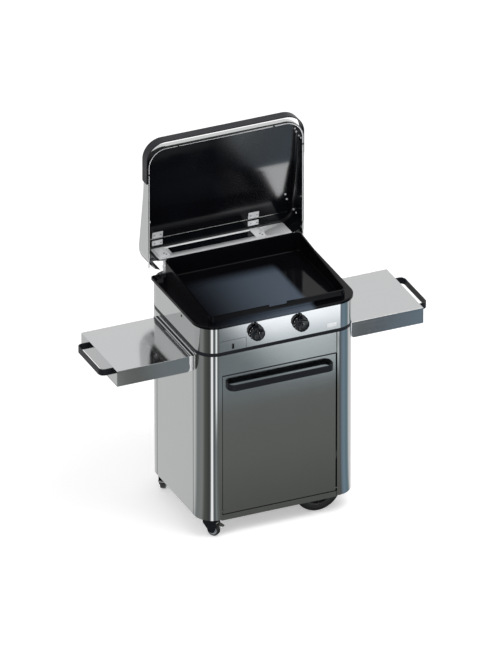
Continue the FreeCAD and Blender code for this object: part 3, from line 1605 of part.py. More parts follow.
def lid_hinge_arms():
    """Leaves on the lid's rear plate, each with a knuckle that turns on a fixed pin."""
    arms = []
    for name, x in (("left", s.hinge_left_x), ("right", s.hinge_right_x)):
        half = s.hinge_arm_width / 2
        face = lid_back_y + s.skin_steel
        leaf = block("hinge_leaf_" + name,
                     (x - s.hinge_leaf_width / 2, face, s.lid_rim),
                     (x + s.hinge_leaf_width / 2, face + s.hinge_leaf_steel,
                      s.lid_rim + s.lid_vent_low - s.small_gap))
        knuckle = rod("hinge_knuckle_" + name, (x - half, hinge_y, s.hinge_z), "X",
                      s.hinge_knuckle_radius, s.hinge_arm_width)
        web = block("hinge_web_" + name,
                    (x - half, face, s.hinge_z - s.hinge_knuckle_radius * 0.4),
                    (x + half, hinge_y, s.hinge_z + s.hinge_knuckle_radius))
        bore = rod("hinge_bore_" + name, (x - half - PAST, hinge_y, s.hinge_z), "X",
                   s.hinge_pin_radius + s.running_gap, s.hinge_arm_width + PAST * 2)
        solid = fuse("hinge_arm_solid_" + name, [leaf, knuckle, web])
        arms.append(cut("hinge_arm_" + name, solid, [bore]))
    open_lid(group("hinge_arm_pair", arms), "lid_hinge_arms")


def lid_hinge_brackets():
    """Fixed ears on the casing's rear deck, each pair joined by a hinge pin."""
    brackets = []
    for name, x in (("left", s.hinge_left_x), ("right", s.hinge_right_x)):
        body = new_body("hinge_bracket_" + name)
        gap = s.hinge_arm_width / 2 + s.small_gap
        width = gap * 2 + s.hinge_ear * 2
        radius = s.hinge_knuckle_radius
        side = new_sketch(body, "YZ", x - gap - s.hinge_ear)
        outline(side, [
            (hinge_y - radius, housing_top), (hinge_y + s.hinge_foot, housing_top),
            (hinge_y + radius, s.hinge_z - radius),
            (hinge_y + radius, s.hinge_z + radius, radius * 0.9),
            (hinge_y - radius, s.hinge_z + radius, radius * 0.9)])
        pad(body, side, width)
        slot = new_sketch(body, "YZ", x - gap)
        rectangle(slot, hinge_y - radius * 3, housing_top + s.hinge_ear, hinge_y + radius * 3,
                  s.hinge_z + radius * 3)
        pocket(body, slot, gap * 2, back=True)
        pin = new_sketch(body, "YZ", x - gap - s.hinge_ear)
        circle(pin, hinge_y, s.hinge_z, s.hinge_pin_radius)
        pad(body, pin, width)
        brackets.append(body)
    finish(group("hinge_bracket_pair", brackets), "lid_hinge_brackets")


def build():
    """Make every piece of the station."""
    front_post("corner_post_front_left", -1)
    front_post("corner_post_front_right", 1)
    finish(corner_post("corner_post_rear_left", -1, 1), "corner_post_rear_left")
    finish(corner_post("corner_post_rear_right", 1, 1), "corner_post_rear_right")
    side_panel("side_panel_left", -1)
    side_panel("side_panel_right", 1)
    back_panel()
    panel_screws()
    floor_tray()
    wheel_arches()
    bottom_rail()
    fascia_panel()
    ring("top_frame", s.frame_steel, s.frame_border, s.trolley_top, s.frame_steel)
    ring("spacer_band", s.band_inset, s.band_width, frame_top, s.band_height)
    door_skin()
    door_inner_panel()
    door_hinge_pins()
    door_handle()
    for side, word in ((-1, "left"), (1, "right")):
        wall_rail("wall_rail_" + word, side)
        shelf("shelf_" + word, side)
        shelf_handle("shelf_handle_" + word, side)
    wheel_axle()
    axle_brackets()
    caster_plates()
    for end, word in ((-1, "front"), (1, "rear")):
        big_wheel("wheel_" + word, end)
        caster_fork("caster_fork_" + word, end)
        caster_wheel("caster_wheel_" + word, end)
        brake_pedal("brake_pedal_" + word, end)
    griddle_housing()
    control_panel()
    floor_pan()
    burner("burner_left", s.knob_left_x, -1)
    burner("burner_right", s.knob_right_x, 1)
    gas_manifold()
    for x, word in ((s.knob_left_x, "left"), (s.knob_right_x, "right")):
        valve_body("valve_body_" + word, x)
        valve_plug("valve_plug_" + word, x)
        knob_spindle("knob_spindle_" + word, x)
        knob("knob_" + word, x)
    drawer_front()
    drawer_tray()
    griddle_plate()
    lid_shell()
    lid_liner()
    lid_hinge_straps()
    lid_rear_plate()
    lid_handle()
    lid_bumpers()
    lid_hinge_arms()
    lid_hinge_brackets()


def check_and_export():
    """Write each piece to its own file, once every object of the document is sound."""
    doc.recompute()
    faults = [o.Name for o in doc.Objects if "Invalid" in o.State or "Error" in o.State]
    for piece in pieces:
        if piece.Shape.isNull() or not piece.Shape.isValid():
            faults.append(piece.Label)
    if faults:
        raise RuntimeError("unsound: " + ", ".join(faults))
    os.makedirs("parts", exist_ok=True)
    for piece in pieces:
        piece.Shape.exportStep(os.path.join("parts", piece.Label + ".step"))


build()
check_and_export()
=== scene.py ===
import math

import bpy
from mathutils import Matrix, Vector


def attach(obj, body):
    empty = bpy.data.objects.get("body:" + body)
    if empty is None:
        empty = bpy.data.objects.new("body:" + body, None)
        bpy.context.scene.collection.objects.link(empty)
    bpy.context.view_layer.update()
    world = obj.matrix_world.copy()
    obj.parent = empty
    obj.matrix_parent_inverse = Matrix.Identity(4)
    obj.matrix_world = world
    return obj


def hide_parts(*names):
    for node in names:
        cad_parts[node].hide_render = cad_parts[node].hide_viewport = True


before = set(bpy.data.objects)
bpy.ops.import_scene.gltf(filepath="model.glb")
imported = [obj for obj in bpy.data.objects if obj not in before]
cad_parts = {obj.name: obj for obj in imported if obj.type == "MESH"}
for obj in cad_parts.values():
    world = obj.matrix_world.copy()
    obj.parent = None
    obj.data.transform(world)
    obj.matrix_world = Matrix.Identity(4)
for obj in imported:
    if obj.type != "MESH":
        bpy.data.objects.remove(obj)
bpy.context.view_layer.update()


# Camera
# A long lens far away, looking down on the front and the left side of the
# griddle.
camera_turn = math.radians(-23.79)
camera_rise = math.radians(28.25)
camera_distance = 77.65
camera_lens = 1119
picture_centre = Vector((0.0322, 0.0973, 0.6897))
towards_camera = Vector((
    math.sin(camera_turn) * math.cos(camera_rise),
    -math.cos(camera_turn) * math.cos(camera_rise),
    math.sin(camera_rise),
))
camera_data = bpy.data.cameras.new("camera")
camera_data.lens = camera_lens
camera_data.clip_start = camera_distance / 2
camera_data.clip_end = camera_distance * 2
camera = bpy.data.objects.new("camera", camera_data)
camera.location = picture_centre + towards_camera * camera_distance
camera.rotation_euler = (-towards_camera).to_track_quat("-Z", "Y").to_euler()
bpy.context.scene.collection.objects.link(camera)
bpy.context.scene.camera = camera
bpy.context.scene.view_settings.view_transform = "Standard"


# Studio floor and world
# A pale floor under a pale room. The camera and the polished steel see both
# as white, and the floor keeps the station's soft shadow.
def new_material(name):
    material = bpy.data.materials.new(name)
    material.use_nodes = True
    material.node_tree.nodes.clear()
    return material


def add_node(tree, kind, inputs, **settings):
    """One node with its settings, its inputs filled with values or joined to other nodes."""
    node = tree.nodes.new(kind)
    for name, value in settings.items():
        setattr(node, name, value)
    for name, value in inputs.items():
        if isinstance(value, bpy.types.NodeSocket):
            tree.links.new(value, node.inputs[name])
        else:
            node.inputs[name].default_value = value
    return node


def combine(tree, operation, first, second):
    return add_node(tree, "ShaderNodeMath", {0: first, 1: second}, operation=operation).outputs[0]


def seen_directly(tree):
    """1 for rays from the camera and for reflected or refracted ones, else 0."""
    path = add_node(tree, "ShaderNodeLightPath", {}).outputs
    mirrored = combine(tree, "MAXIMUM", path["Is Camera Ray"], path["Is Glossy Ray"])
    return combine(tree, "MAXIMUM", mirrored, path["Is Transmission Ray"])


def no_selection():
    bpy.ops.object.select_all(action="DESELECT")


floor_size = 16
floor_height = -0.0005
floor_white = (0.93, 0.93, 0.93, 1)
floor_glow = 0.38
no_selection()
bpy.ops.mesh.primitive_plane_add(size=floor_size, location=(0, 0, floor_height))
floor = bpy.context.object
floor.name = "studio_floor"
floor_paint = new_material("floor_paint")
tree = floor_paint.node_tree
floor_shader = add_node(tree, "ShaderNodeBsdfPrincipled", {
    "Base Color": floor_white, "Roughness": 0.9, "Specular IOR Level": 0.1,
    "Emission Color": (1, 1, 1, 1),
    "Emission Strength": combine(tree, "MULTIPLY", seen_directly(tree), floor_glow)})
add_node(tree, "ShaderNodeOutputMaterial", {"Surface": floor_shader.outputs[0]})
floor.data.materials.append(floor_paint)

room_light_given = 0.62
room_light_seen = 1.0
world = bpy.data.worlds.new("pale_room")
bpy.context.scene.world = world
world.use_nodes = True
tree = world.node_tree
tree.nodes.clear()
room_light = add_node(tree, "ShaderNodeMapRange", {
    "Value": seen_directly(tree), "To Min": room_light_given, "To Max": room_light_seen})
room = add_node(tree, "ShaderNodeBackground", {
    "Color": (1, 1, 1, 1), "Strength": room_light.outputs["Result"]})
add_node(tree, "ShaderNodeOutputWorld", {"Surface": room.outputs[0]})


# Lamps
# Two large soft boxes, neither seen in reflections: the main one high at the
# right front, whose shadow falls to the left and behind, and a weak one at
# the left.
def soft_box(name, place, target, side, power):
    lamp = bpy.data.lights.new(name, "AREA")
    lamp.shape = "RECTANGLE"
    lamp.size = side
    lamp.size_y = side
    lamp.energy = power
    holder = bpy.data.objects.new(name, lamp)
    holder.location = place
    aim = Vector(target) - Vector(place)
    holder.rotation_euler = aim.to_track_quat("-Z", "Y").to_euler()
    holder.visible_glossy = False
    bpy.context.scene.collection.objects.link(holder)


lit_point = (0, 0, 0.6)
soft_box("main_box", place=(1.3, -1.4, 4.0), target=lit_point, side=2.4, power=66)
soft_box("left_box", place=(-3.4, -1.6, 2.6), target=lit_point, side=2.0, power=26)


# Shade boards
# A board on the floor, one overhead and a bright panel at the right, out of
# the picture. The floor board is painted in wedges round the front columns,
# which mirror it as upright bands, and in a wash before the door.
def smooth_step(tree, value, low, high):
    """0 below the low value, 1 above the high one, and a soft change between them."""
    return add_node(tree, "ShaderNodeMapRange", {
        "Value": value, "From Min": low, "From Max": high},
        interpolation_type="SMOOTHSTEP").outputs["Result"]


def smooth_fall(tree, value, low, high):
    """1 below the low value, 0 above the high one, and a soft change between them."""
    return combine(tree, "SUBTRACT", 1.0, smooth_step(tree, value, low, high))


def turn_round(tree, where, column_x, column_y):
    """Degrees round a column: 0 in front of it, 90 at its right, -90 at its left."""
    offset = add_node(tree, "ShaderNodeVectorMath", {0: where, 1: (column_x, column_y, 0)},
                      operation="SUBTRACT")
    apart = add_node(tree, "ShaderNodeSeparateXYZ", {"Vector": offset.outputs["Vector"]})
    forward = combine(tree, "MULTIPLY", apart.outputs["Y"], -1.0)
    turn = combine(tree, "ARCTAN2", apart.outputs["X"], forward)
    return combine(tree, "MULTIPLY", turn, 180 / math.pi)


def wash(tree, value, stops):
    """A colour that follows a value through its (value, colour) stops."""
    low, high = stops[0][0], stops[-1][0]
    share = add_node(tree, "ShaderNodeMapRange", {
        "Value": value, "From Min": low, "From Max": high})
    ramp = add_node(tree, "ShaderNodeValToRGB", {"Fac": share.outputs["Result"]})
    elements = ramp.color_ramp.elements
    for element, (at, colour) in zip(elements, (stops[0], stops[-1])):
        element.position = (at - low) / (high - low)
        element.color = (*colour, 1)
    for at, colour in stops[1:-1]:
        elements.new((at - low) / (high - low)).color = (*colour, 1)
    return ramp.outputs["Color"]


def blended(tree, share, first, second):
    return add_node(tree, "ShaderNodeMix", {"Factor": share, "A": first, "B": second},
                    data_type="RGBA").outputs["Result"]


def grey(shade):
    return (shade, shade, shade)


def mirror_board(name, size, place, colour, aim=(0, 0, 1)):
    """A glowing board that only reflections see, of one colour or of one that a function makes."""
    no_selection()
    turn = Vector(aim).to_track_quat("Z", "Y").to_euler()
    bpy.ops.mesh.primitive_plane_add(size=size, location=place, rotation=turn)
    bpy.ops.object.transform_apply(location=True, rotation=True)
    board = bpy.context.object
    board.name = name
    paint = new_material(name + "_paint")
    tree = paint.node_tree
    if callable(colour):
        colour = colour(tree, add_node(tree, "ShaderNodeTexCoord", {}).outputs["Object"])
    else:
        colour = (*colour, 1)
    glow = add_node(tree, "ShaderNodeEmission", {"Color": colour, "Strength": 1.0})
    add_node(tree, "ShaderNodeOutputMaterial", {"Surface": glow.outputs[0]})
    board.data.materials.append(paint)
    board.visible_camera = False
    board.visible_diffuse = False
    board.visible_shadow = False
    board.visible_transmission = False


column_x = 0.249
column_y = -0.183
left_wedges = [
    (-180, grey(0.80)), (-140, grey(0.74)), (-117, (0.27, 0.29, 0.29)), (-82, (0.32, 0.33, 0.32)),
    (-66, (0.13, 0.135, 0.12)), (-42, (0.075, 0.08, 0.075)), (-34, (0.13, 0.14, 0.15)),
    (-28, grey(1.55)), (-22, grey(1.50)), (-17, (0.17, 0.17, 0.18)), (-9, (0.16, 0.18, 0.19)),
    (-3, (0.34, 0.37, 0.36)), (4, (0.20, 0.22, 0.21)), (12, (0.17, 0.175, 0.165)),
    (180, (0.17, 0.175, 0.165))]
left_wedges_end = (10, 16)
right_wedges = [
    (-180, grey(0.13)), (28, grey(0.12)), (38, (0.22, 0.29, 0.35)), (52, (0.25, 0.34, 0.43)),
    (74, (0.17, 0.27, 0.30)), (86, (0.40, 0.44, 0.50)), (94, grey(0.85)), (180, grey(0.82))]
right_wedges_start = (25, 31)
door_wash = [
    (0.38, (0.135, 0.140, 0.130)), (0.80, (0.182, 0.188, 0.176)), (1.16, (0.190, 0.198, 0.190)),
    (1.34, (0.250, 0.290, 0.310)), (1.60, (0.230, 0.260, 0.270))]
bright_wash = [
    (1.30, (0.62, 0.70, 0.72)), (1.56, (0.68, 0.74, 0.76)), (1.66, (1.02, 1.08, 1.12)),
    (1.82, (2.00, 2.05, 2.08))]
bright_across = (0.38, 0.64)
bright_forward = (1.24, 1.46)
shelf_across = (0.78, 0.86)
shelf_forward = (1.5, 1.6)
black_paint = (0.03, 0.032, 0.035, 1)
black_forward = (1.82, 1.94)
black_across = (1.05, 1.40)
strip_white = (1.35, 1.38, 1.40, 1)
strip_start = (-7, -3)
strip_end = (2, 6)
strip_forward = (0.95, 1.45)


def floor_board_colour(tree, where):
    apart = add_node(tree, "ShaderNodeSeparateXYZ", {"Vector": where})
    across = apart.outputs["X"]
    forward = combine(tree, "MULTIPLY", apart.outputs["Y"], -1.0)
    from_left = turn_round(tree, where, -column_x, column_y)
    from_right = turn_round(tree, where, column_x, column_y)
    colour = wash(tree, forward, door_wash)
    # the bright sheet that the fascia and the console mirror
    under_shelf = combine(tree, "MULTIPLY", smooth_step(tree, across, *shelf_across),
                          smooth_fall(tree, forward, *shelf_forward))
    bright = combine(tree, "MULTIPLY", smooth_step(tree, across, *bright_across),
                     smooth_step(tree, forward, *bright_forward))
    bright = combine(tree, "MULTIPLY", bright, combine(tree, "SUBTRACT", 1.0, under_shelf))
    colour = blended(tree, bright, colour, wash(tree, forward, bright_wash))
    # the black sheet beyond it, which the plate's rim and the lid's liner mirror
    black = combine(tree, "MULTIPLY", smooth_step(tree, forward, *black_forward),
                    smooth_fall(tree, across, *black_across))
    colour = blended(tree, black, colour, black_paint)
    at_left = smooth_fall(tree, from_left, *left_wedges_end)
    colour = blended(tree, at_left, colour, wash(tree, from_left, left_wedges))
    # the white strip that only the columns' upper part and the casing mirror
    strip = combine(tree, "MULTIPLY", smooth_step(tree, from_left, *strip_start),
                    smooth_fall(tree, from_left, *strip_end))
    strip = combine(tree, "MULTIPLY", strip, smooth_step(tree, forward, *strip_forward))
    colour = blended(tree, strip, colour, strip_white)
    at_right = smooth_step(tree, from_right, *right_wedges_start)
    return blended(tree, at_right, colour, wash(tree, from_right, right_wedges))


mirror_board("floor_board", size=6.4, place=(0, 0, 0.004), colour=floor_board_colour)
mirror_board("ceiling_board", size=7.0, place=(0.6, -4.6, 4.4), colour=grey(0.04))
mirror_board("soft_panel", size=2.4, place=(2.2, -1.9, 3.4), colour=grey(3.6),
             aim=(-2.2, 1.9, -2.8))


# Undercarriage
# Pressed floor tray, wheel arches and axle brackets of dull galvanised
# sheet, folded and spot welded under the cabinet, with the top frame and the
# back panel of the same sheet.
def group_of(name, inputs, outputs):
    """A shader node group with its sockets, and the nodes at its two ends."""
    group = bpy.data.node_groups.new(name, "ShaderNodeTree")
    for direction, sockets in (("INPUT", inputs), ("OUTPUT", outputs)):
        for socket, kind in sockets:
            group.interface.new_socket(socket, in_out=direction, socket_type="NodeSocket" + kind)
    return group, group.nodes.new("NodeGroupInput"), group.nodes.new("NodeGroupOutput")


bump_depth = 0.0004
polishing, given, made = group_of(
    "polishing_lines",
    [("Stretch", "Vector"), ("Low", "Float"), ("High", "Float"), ("Depth", "Float")],
    [("Roughness", "Float"), ("Normal", "Vector"), ("Lines", "Float")])
place = add_node(polishing, "ShaderNodeTexCoord", {})
drawn_out = add_node(polishing, "ShaderNodeVectorMath", {
    0: place.outputs["Object"], 1: given.outputs["Stretch"]}, operation="MULTIPLY")
lines = add_node(polishing, "ShaderNodeTexNoise", {
    "Vector": drawn_out.outputs["Vector"], "Scale": 1.0, "Detail": 3.0, "Roughness": 0.6})
hand_marks = add_node(polishing, "ShaderNodeTexNoise", {
    "Vector": place.outputs["Object"], "Scale": 7.0, "Detail": 4.0, "Roughness": 0.65})
marked = combine(polishing, "MULTIPLY", lines.outputs["Fac"], hand_marks.outputs["Fac"])
sheen = add_node(polishing, "ShaderNodeMapRange", {
    "Value": marked, "From Min": 0.12, "From Max": 0.42,
    "To Min": given.outputs["Low"], "To Max": given.outputs["High"]})
relief = add_node(polishing, "ShaderNodeBump", {
    "Height": lines.outputs["Fac"], "Strength": given.outputs["Depth"], "Distance": bump_depth})
polishing.links.new(sheen.outputs["Result"], made.inputs["Roughness"])
polishing.links.new(relief.outputs["Normal"], made.inputs["Normal"])
polishing.links.new(lines.outputs["Fac"], made.inputs["Lines"])


def polished_sheet(name, colour, stretch, low, high, depth):
    """Sheet metal whose grain runs along the axis with the smallest stretch.

    Its roughness varies from low to high, and depth is the strength of its relief.
    """
    line_shade = 0.93
    material = new_material(name)
    tree = material.node_tree
    finish = add_node(tree, "ShaderNodeGroup", {
        "Stretch": stretch, "Low": low, "High": high, "Depth": depth}, node_tree=polishing)
    darker = [part * line_shade for part in colour]
    steel = add_node(tree, "ShaderNodeBsdfPrincipled", {
        "Base Color": blended(tree, finish.outputs["Lines"], (*darker, 1), (*colour, 1)),
        "Metallic": 1.0, "Roughness": finish.outputs["Roughness"],
        "Normal": finish.outputs["Normal"]})
    add_node(tree, "ShaderNodeOutputMaterial", {"Surface": steel.outputs[0]})
    return material


def finish_nodes(material, *names):
    """Give CAD nodes a material in place of the plain one that they were packed with."""
    for name in names:
        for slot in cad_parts[name].material_slots:
            slot.material = material


hidden_sheet = polished_sheet("hidden_sheet", (0.42, 0.43, 0.44), stretch=(60, 60, 60),
                              low=0.30, high=0.48, depth=0.05)
finish_nodes(hidden_sheet, "floor_tray", "wheel_arches", "axle_brackets", "top_frame", "back_panel")


# Axle and caster plates
# Turned and pressed steel parts with a bright zinc coat, screwed under the
# floor tray.
zinc_plate = polished_sheet("zinc_plate", (0.66, 0.66, 0.66), stretch=(150, 150, 150),
                            low=0.14, high=0.28, depth=0.05)
finish_nodes(zinc_plate, "wheel_axle", "caster_plates", "brake_pedal_front", "brake_pedal_rear")


# Wheels
# Two large wheels on the right, moulded in one piece of black plastic with a
# tread ring, and two casters on the left with pale hubs and dark tyres.
grain, given, made = group_of(
    "surface_grain",
    [("Size", "Float"), ("Low", "Float"), ("High", "Float"), ("Depth", "Float")],
    [("Roughness", "Float"), ("Normal", "Vector"), ("Patches", "Float")])
place = add_node(grain, "ShaderNodeTexCoord", {})
fine = add_node(grain, "ShaderNodeTexNoise", {
    "Vector": place.outputs["Object"], "Scale": given.outputs["Size"], "Detail": 2.0,
    "Roughness": 0.5})
patches = add_node(grain, "ShaderNodeTexNoise", {
    "Vector": place.outputs["Object"], "Scale": 9.0, "Detail": 4.0, "Roughness": 0.6})
spread = add_node(grain, "ShaderNodeMapRange", {
    "Value": patches.outputs["Fac"], "From Min": 0.3, "From Max": 0.7,
    "To Min": given.outputs["Low"], "To Max": given.outputs["High"]})
relief = add_node(grain, "ShaderNodeBump", {
    "Height": fine.outputs["Fac"], "Strength": given.outputs["Depth"], "Distance": bump_depth})
grain.links.new(spread.outputs["Result"], made.inputs["Roughness"])
grain.links.new(relief.outputs["Normal"], made.inputs["Normal"])
grain.links.new(patches.outputs["Fac"], made.inputs["Patches"])


def coated(name, colour, worn, size, low, high, depth, ior=1.5, metallic=0.0):
    """A coated or moulded surface, its colour drifting a little towards a worn one.

    The grain grows finer with size, and the roughness varies from low to high.
    """
    material = new_material(name)
    tree = material.node_tree
    finish = add_node(tree, "ShaderNodeGroup", {
        "Size": size, "Low": low, "High": high, "Depth": depth}, node_tree=grain)
    skin = add_node(tree, "ShaderNodeBsdfPrincipled", {
        "Base Color": blended(tree, finish.outputs["Patches"], (*colour, 1), (*worn, 1)),
        "Roughness": finish.outputs["Roughness"], "Normal": finish.outputs["Normal"],
        "IOR": ior, "Metallic": metallic})
    add_node(tree, "ShaderNodeOutputMaterial", {"Surface": skin.outputs[0]})
    return material


def node_of(tree, kind):
    return next(node for node in tree.nodes if node.bl_idname == kind)


def wheel_plastic(name, centre, axis, hub_radius, hub_colour, tyre_colour):
    """Moulded plastic that changes from hub to tyre at a radius round the axle."""
    soft_edge = 0.0004
    material = coated(name, hub_colour, tyre_colour, size=700, low=0.34, high=0.55, depth=0.12)
    tree = material.node_tree
    where = add_node(tree, "ShaderNodeTexCoord", {}).outputs["Object"]
    offset = add_node(tree, "ShaderNodeVectorMath", {0: where, 1: centre}, operation="SUBTRACT")
    crossed = add_node(tree, "ShaderNodeVectorMath", {0: offset.outputs["Vector"], 1: axis},
                       operation="CROSS_PRODUCT")
    radius = add_node(tree, "ShaderNodeVectorMath", {0: crossed.outputs["Vector"]},
                      operation="LENGTH").outputs["Value"]
    tyre = smooth_step(tree, radius, hub_radius - soft_edge, hub_radius + soft_edge)
    tree.links.new(tyre, node_of(tree, "ShaderNodeMix").inputs["Factor"])
    return material


wheel_x = 0.183
wheel_y = 0.201
wheel_height = 0.096
tread_radius = 0.080
for end, y in (("front", -wheel_y), ("rear", wheel_y)):
    moulding = wheel_plastic("wheel_plastic_" + end, (wheel_x, y, wheel_height), (0, 1, 0),
                             tread_radius, (0.020, 0.021, 0.023), (0.010, 0.010, 0.010))
    finish_nodes(moulding, "wheel_" + end)
caster_height = 0.025
caster_hub_radius = 0.0185
caster_turn = math.radians(35)
for end, x, y, side in (("front", -0.26438, -0.23002, 1), ("rear", -0.28962, 0.19398, -1)):
    along = (math.cos(caster_turn), side * math.sin(caster_turn), 0)
    moulding = wheel_plastic("caster_plastic_" + end, (x, y, caster_height), along,
                             caster_hub_radius, (0.30, 0.33, 0.37), (0.014, 0.014, 0.015))
    finish_nodes(moulding, "caster_wheel_" + end)


# Caster forks
# Forks bent from steel strip, with a black powder coat, free to turn on the
# plates above them.
powder_coat = coated("powder_coat", (0.006, 0.007, 0.010), (0.012, 0.013, 0.018), size=1400,
                     low=0.34, high=0.46, depth=0.20, ior=1.28)
finish_nodes(powder_coat, "caster_fork_front", "caster_fork_rear")


# Corner columns
# Four quarter-round columns of stainless sheet, rolled and then polished
# along their height, which carry every panel.
column_steel = polished_sheet("column_steel", (0.55, 0.56, 0.56), stretch=(420, 420, 3),
                              low=0.03, high=0.07, depth=0.03)
finish_nodes(column_steel, "corner_post_front_left", "corner_post_front_right",
             "corner_post_rear_left", "corner_post_rear_right")


# Side panels
# Flat stainless panels set between the columns, with a dark sealing line
# along each folded edge.
flat_steel = polished_sheet("flat_steel", (0.54, 0.55, 0.55), stretch=(5, 5, 380),
                            low=0.07, high=0.15, depth=0.025)
finish_nodes(flat_steel, "side_panel_left", "side_panel_right")
sharp = math.radians(40)


def apply_place():
    """Put the active piece's place, turn and size into its mesh."""
    bpy.ops.object.transform_apply(location=True, rotation=True, scale=True)


def round_off(piece, edge, segments=2):
    """Round the sharp edges of the active piece."""
    rounding = piece.modifiers.new("edges", "BEVEL")
    rounding.width = edge
    rounding.segments = segments
    rounding.limit_method = "ANGLE"
    rounding.angle_limit = sharp
    bpy.ops.object.modifier_apply(modifier=rounding.name)
    bpy.ops.object.shade_smooth_by_angle(angle=sharp)


def bar(name, low, high, edge):
    """A straight bar between two corners, its edges rounded."""
    no_selection()
    middle = [(a + b) / 2 for a, b in zip(low, high)]
    bpy.ops.mesh.primitive_cube_add(size=1, location=middle)
    piece = bpy.context.object
    piece.name = name
    piece.scale = [b - a for a, b in zip(low, high)]
    apply_place()
    round_off(piece, edge)
    return piece


def fit(piece, material, body):
    """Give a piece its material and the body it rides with."""
    piece.data.materials.clear()
    piece.data.materials.append(material)
    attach(piece, body)


seal_rubber = coated("seal_rubber", (0.008, 0.008, 0.009), (0.015, 0.015, 0.016), size=600,
                     low=0.45, high=0.65, depth=0.15, ior=1.3)
panel_face = 0.325
panel_low = 0.076
panel_high = 0.702
seam_y = 0.1733
seam_proud = 0.0004
seam_half = 0.0011
for side, way in (("left", -1), ("right", 1)):
    near, far = sorted((way * panel_face, way * (panel_face + seam_proud)))
    for end, y in (("front", -seam_y), ("rear", seam_y)):
        line = bar("side_seam_%s_%s" % (side, end), low=(near, y - seam_half, panel_low),
                   high=(far, y + seam_half, panel_high), edge=0.0001)
        fit(line, seal_rubber, "trolley")


# Fascia and rail
# The stainless sheet above the door and the folded rail below it, fixed
# between the front columns with zinc plated screws.
finish_nodes(flat_steel, "fascia_panel", "bottom_rail")
finish_nodes(zinc_plate, "panel_screws")


# Door
# A folded stainless skin over a galvanised inner sheet, hinged at its foot.
# A black strip in the gap under the fascia is painted shade.
door_steel = polished_sheet("door_steel", (0.53, 0.54, 0.54), stretch=(4, 4, 420),
                            low=0.08, high=0.16, depth=0.02)
finish_nodes(door_steel, "door_skin")
finish_nodes(hidden_sheet, "door_inner_panel")
finish_nodes(zinc_plate, "door_hinge_pins")
door_half = 0.2385
# painted shade: a black strip that stands in for the shadow in the gap under the fascia
door_shadow_strip = bar("door_shadow_strip", low=(-door_half, -0.2549, 0.6943),
                high=(door_half, -0.2480, 0.6992), edge=0.0005)
fit(door_shadow_strip, seal_rubber, "trolley")


# Door handle
# A flat steel bar bent at both ends, powder coated black and screwed through
# the door's skin.
finish_nodes(powder_coat, "door_handle")


# Spacer band
# A black powder coated band round the cabinet that carries the griddle's
# casing, bent from one strip and closed at the back.
band_low = 0.7895
band_high = 0.8050
band_half_x = 0.3254
band_half_y = 0.2594
band_corner = 0.0765
band_sheet = 0.003
no_selection()
bpy.ops.mesh.primitive_plane_add(size=1, location=(0, 0, band_low))
band = bpy.context.object
band.name = "casing_band"
band.scale = (band_half_x * 2, band_half_y * 2, 1)
apply_place()
bpy.ops.object.mode_set(mode="EDIT")
bpy.ops.mesh.select_all(action="SELECT")
bpy.ops.mesh.bevel(offset=band_corner, segments=16, affect="VERTICES")
bpy.ops.mesh.select_all(action="SELECT")
bpy.ops.mesh.delete(type="ONLY_FACE")
bpy.ops.mesh.select_all(action="SELECT")
bpy.ops.mesh.extrude_region_move(
    TRANSFORM_OT_translate={"value": (0, 0, band_high - band_low)})
bpy.ops.mesh.select_all(action="SELECT")
bpy.ops.mesh.normals_make_consistent(inside=False)
bpy.ops.object.mode_set(mode="OBJECT")
wall = band.modifiers.new("wall", "SOLIDIFY")
wall.thickness = band_sheet
wall.offset = -1
bpy.ops.object.modifier_apply(modifier=wall.name)
round_off(band, edge=0.0006)
fit(band, powder_coat, "trolley")
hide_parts("spacer_band")


# Griddle casing
# One stainless sheet bent round the four corners, polished like the columns,
# with a small black screw low on its left side.
casing_steel = polished_sheet("casing_steel", (0.55, 0.56, 0.56), stretch=(420, 420, 3),
                              low=0.04, high=0.09, depth=0.03)
finish_nodes(casing_steel, "griddle_housing")
finish_nodes(hidden_sheet, "floor_pan")
casing_face = 0.3254


def carve(piece, cutter):
    """Take the cutter's volume out of a piece."""
    cut = piece.modifiers.new("cut", "BOOLEAN")
    cut.object = cutter
    cut.operation = "DIFFERENCE"
    no_selection()
    bpy.context.view_layer.objects.active = piece
    piece.select_set(True)
    bpy.ops.object.modifier_apply(modifier=cut.name)
    bpy.data.objects.remove(cutter)


def screw_head(name, place, direction, radius, height):
    """A domed screw head with a six-sided recess, its top towards the direction."""
    dome_share = 0.35
    recess_share = 0.45
    no_selection()
    turn = Vector(direction).to_track_quat("Z", "Y").to_euler()
    bpy.ops.mesh.primitive_cylinder_add(vertices=24, radius=radius, depth=height,
                                        location=place, rotation=turn)
    head = bpy.context.object
    head.name = name
    apply_place()
    round_off(head, edge=height * dome_share, segments=3)
    no_selection()
    sunk = Vector(place) + Vector(direction) * height * 0.5
    bpy.ops.mesh.primitive_cylinder_add(vertices=6, radius=radius * recess_share, depth=height,
                                        location=sunk, rotation=turn)
    carve(head, bpy.context.object)
    return head


casing_screw = screw_head("casing_screw", place=(-casing_face, -0.063, 0.886),
                          direction=(-1, 0, 0), radius=0.0050, height=0.0018)
fit(casing_screw, seal_rubber, "trolley")


# Console
# The flat control sheet between the casing's front corners, and a bare light
# plate riveted at its right end.
console_steel = polished_sheet("console_steel", (0.56, 0.57, 0.58), stretch=(4, 4, 300),
                               low=0.05, high=0.10, depth=0.015)
finish_nodes(console_steel, "control_panel")
plate_paint = coated("plate_paint", (0.78, 0.80, 0.82), (0.86, 0.88, 0.90), size=500,
                     low=0.30, high=0.40, depth=0.02)
blank_plate = bar("blank_plate", low=(0.197, -0.2598, 0.8165), high=(0.238, -0.2588, 0.8340),
                  edge=0.0004)
fit(blank_plate, plate_paint, "trolley")
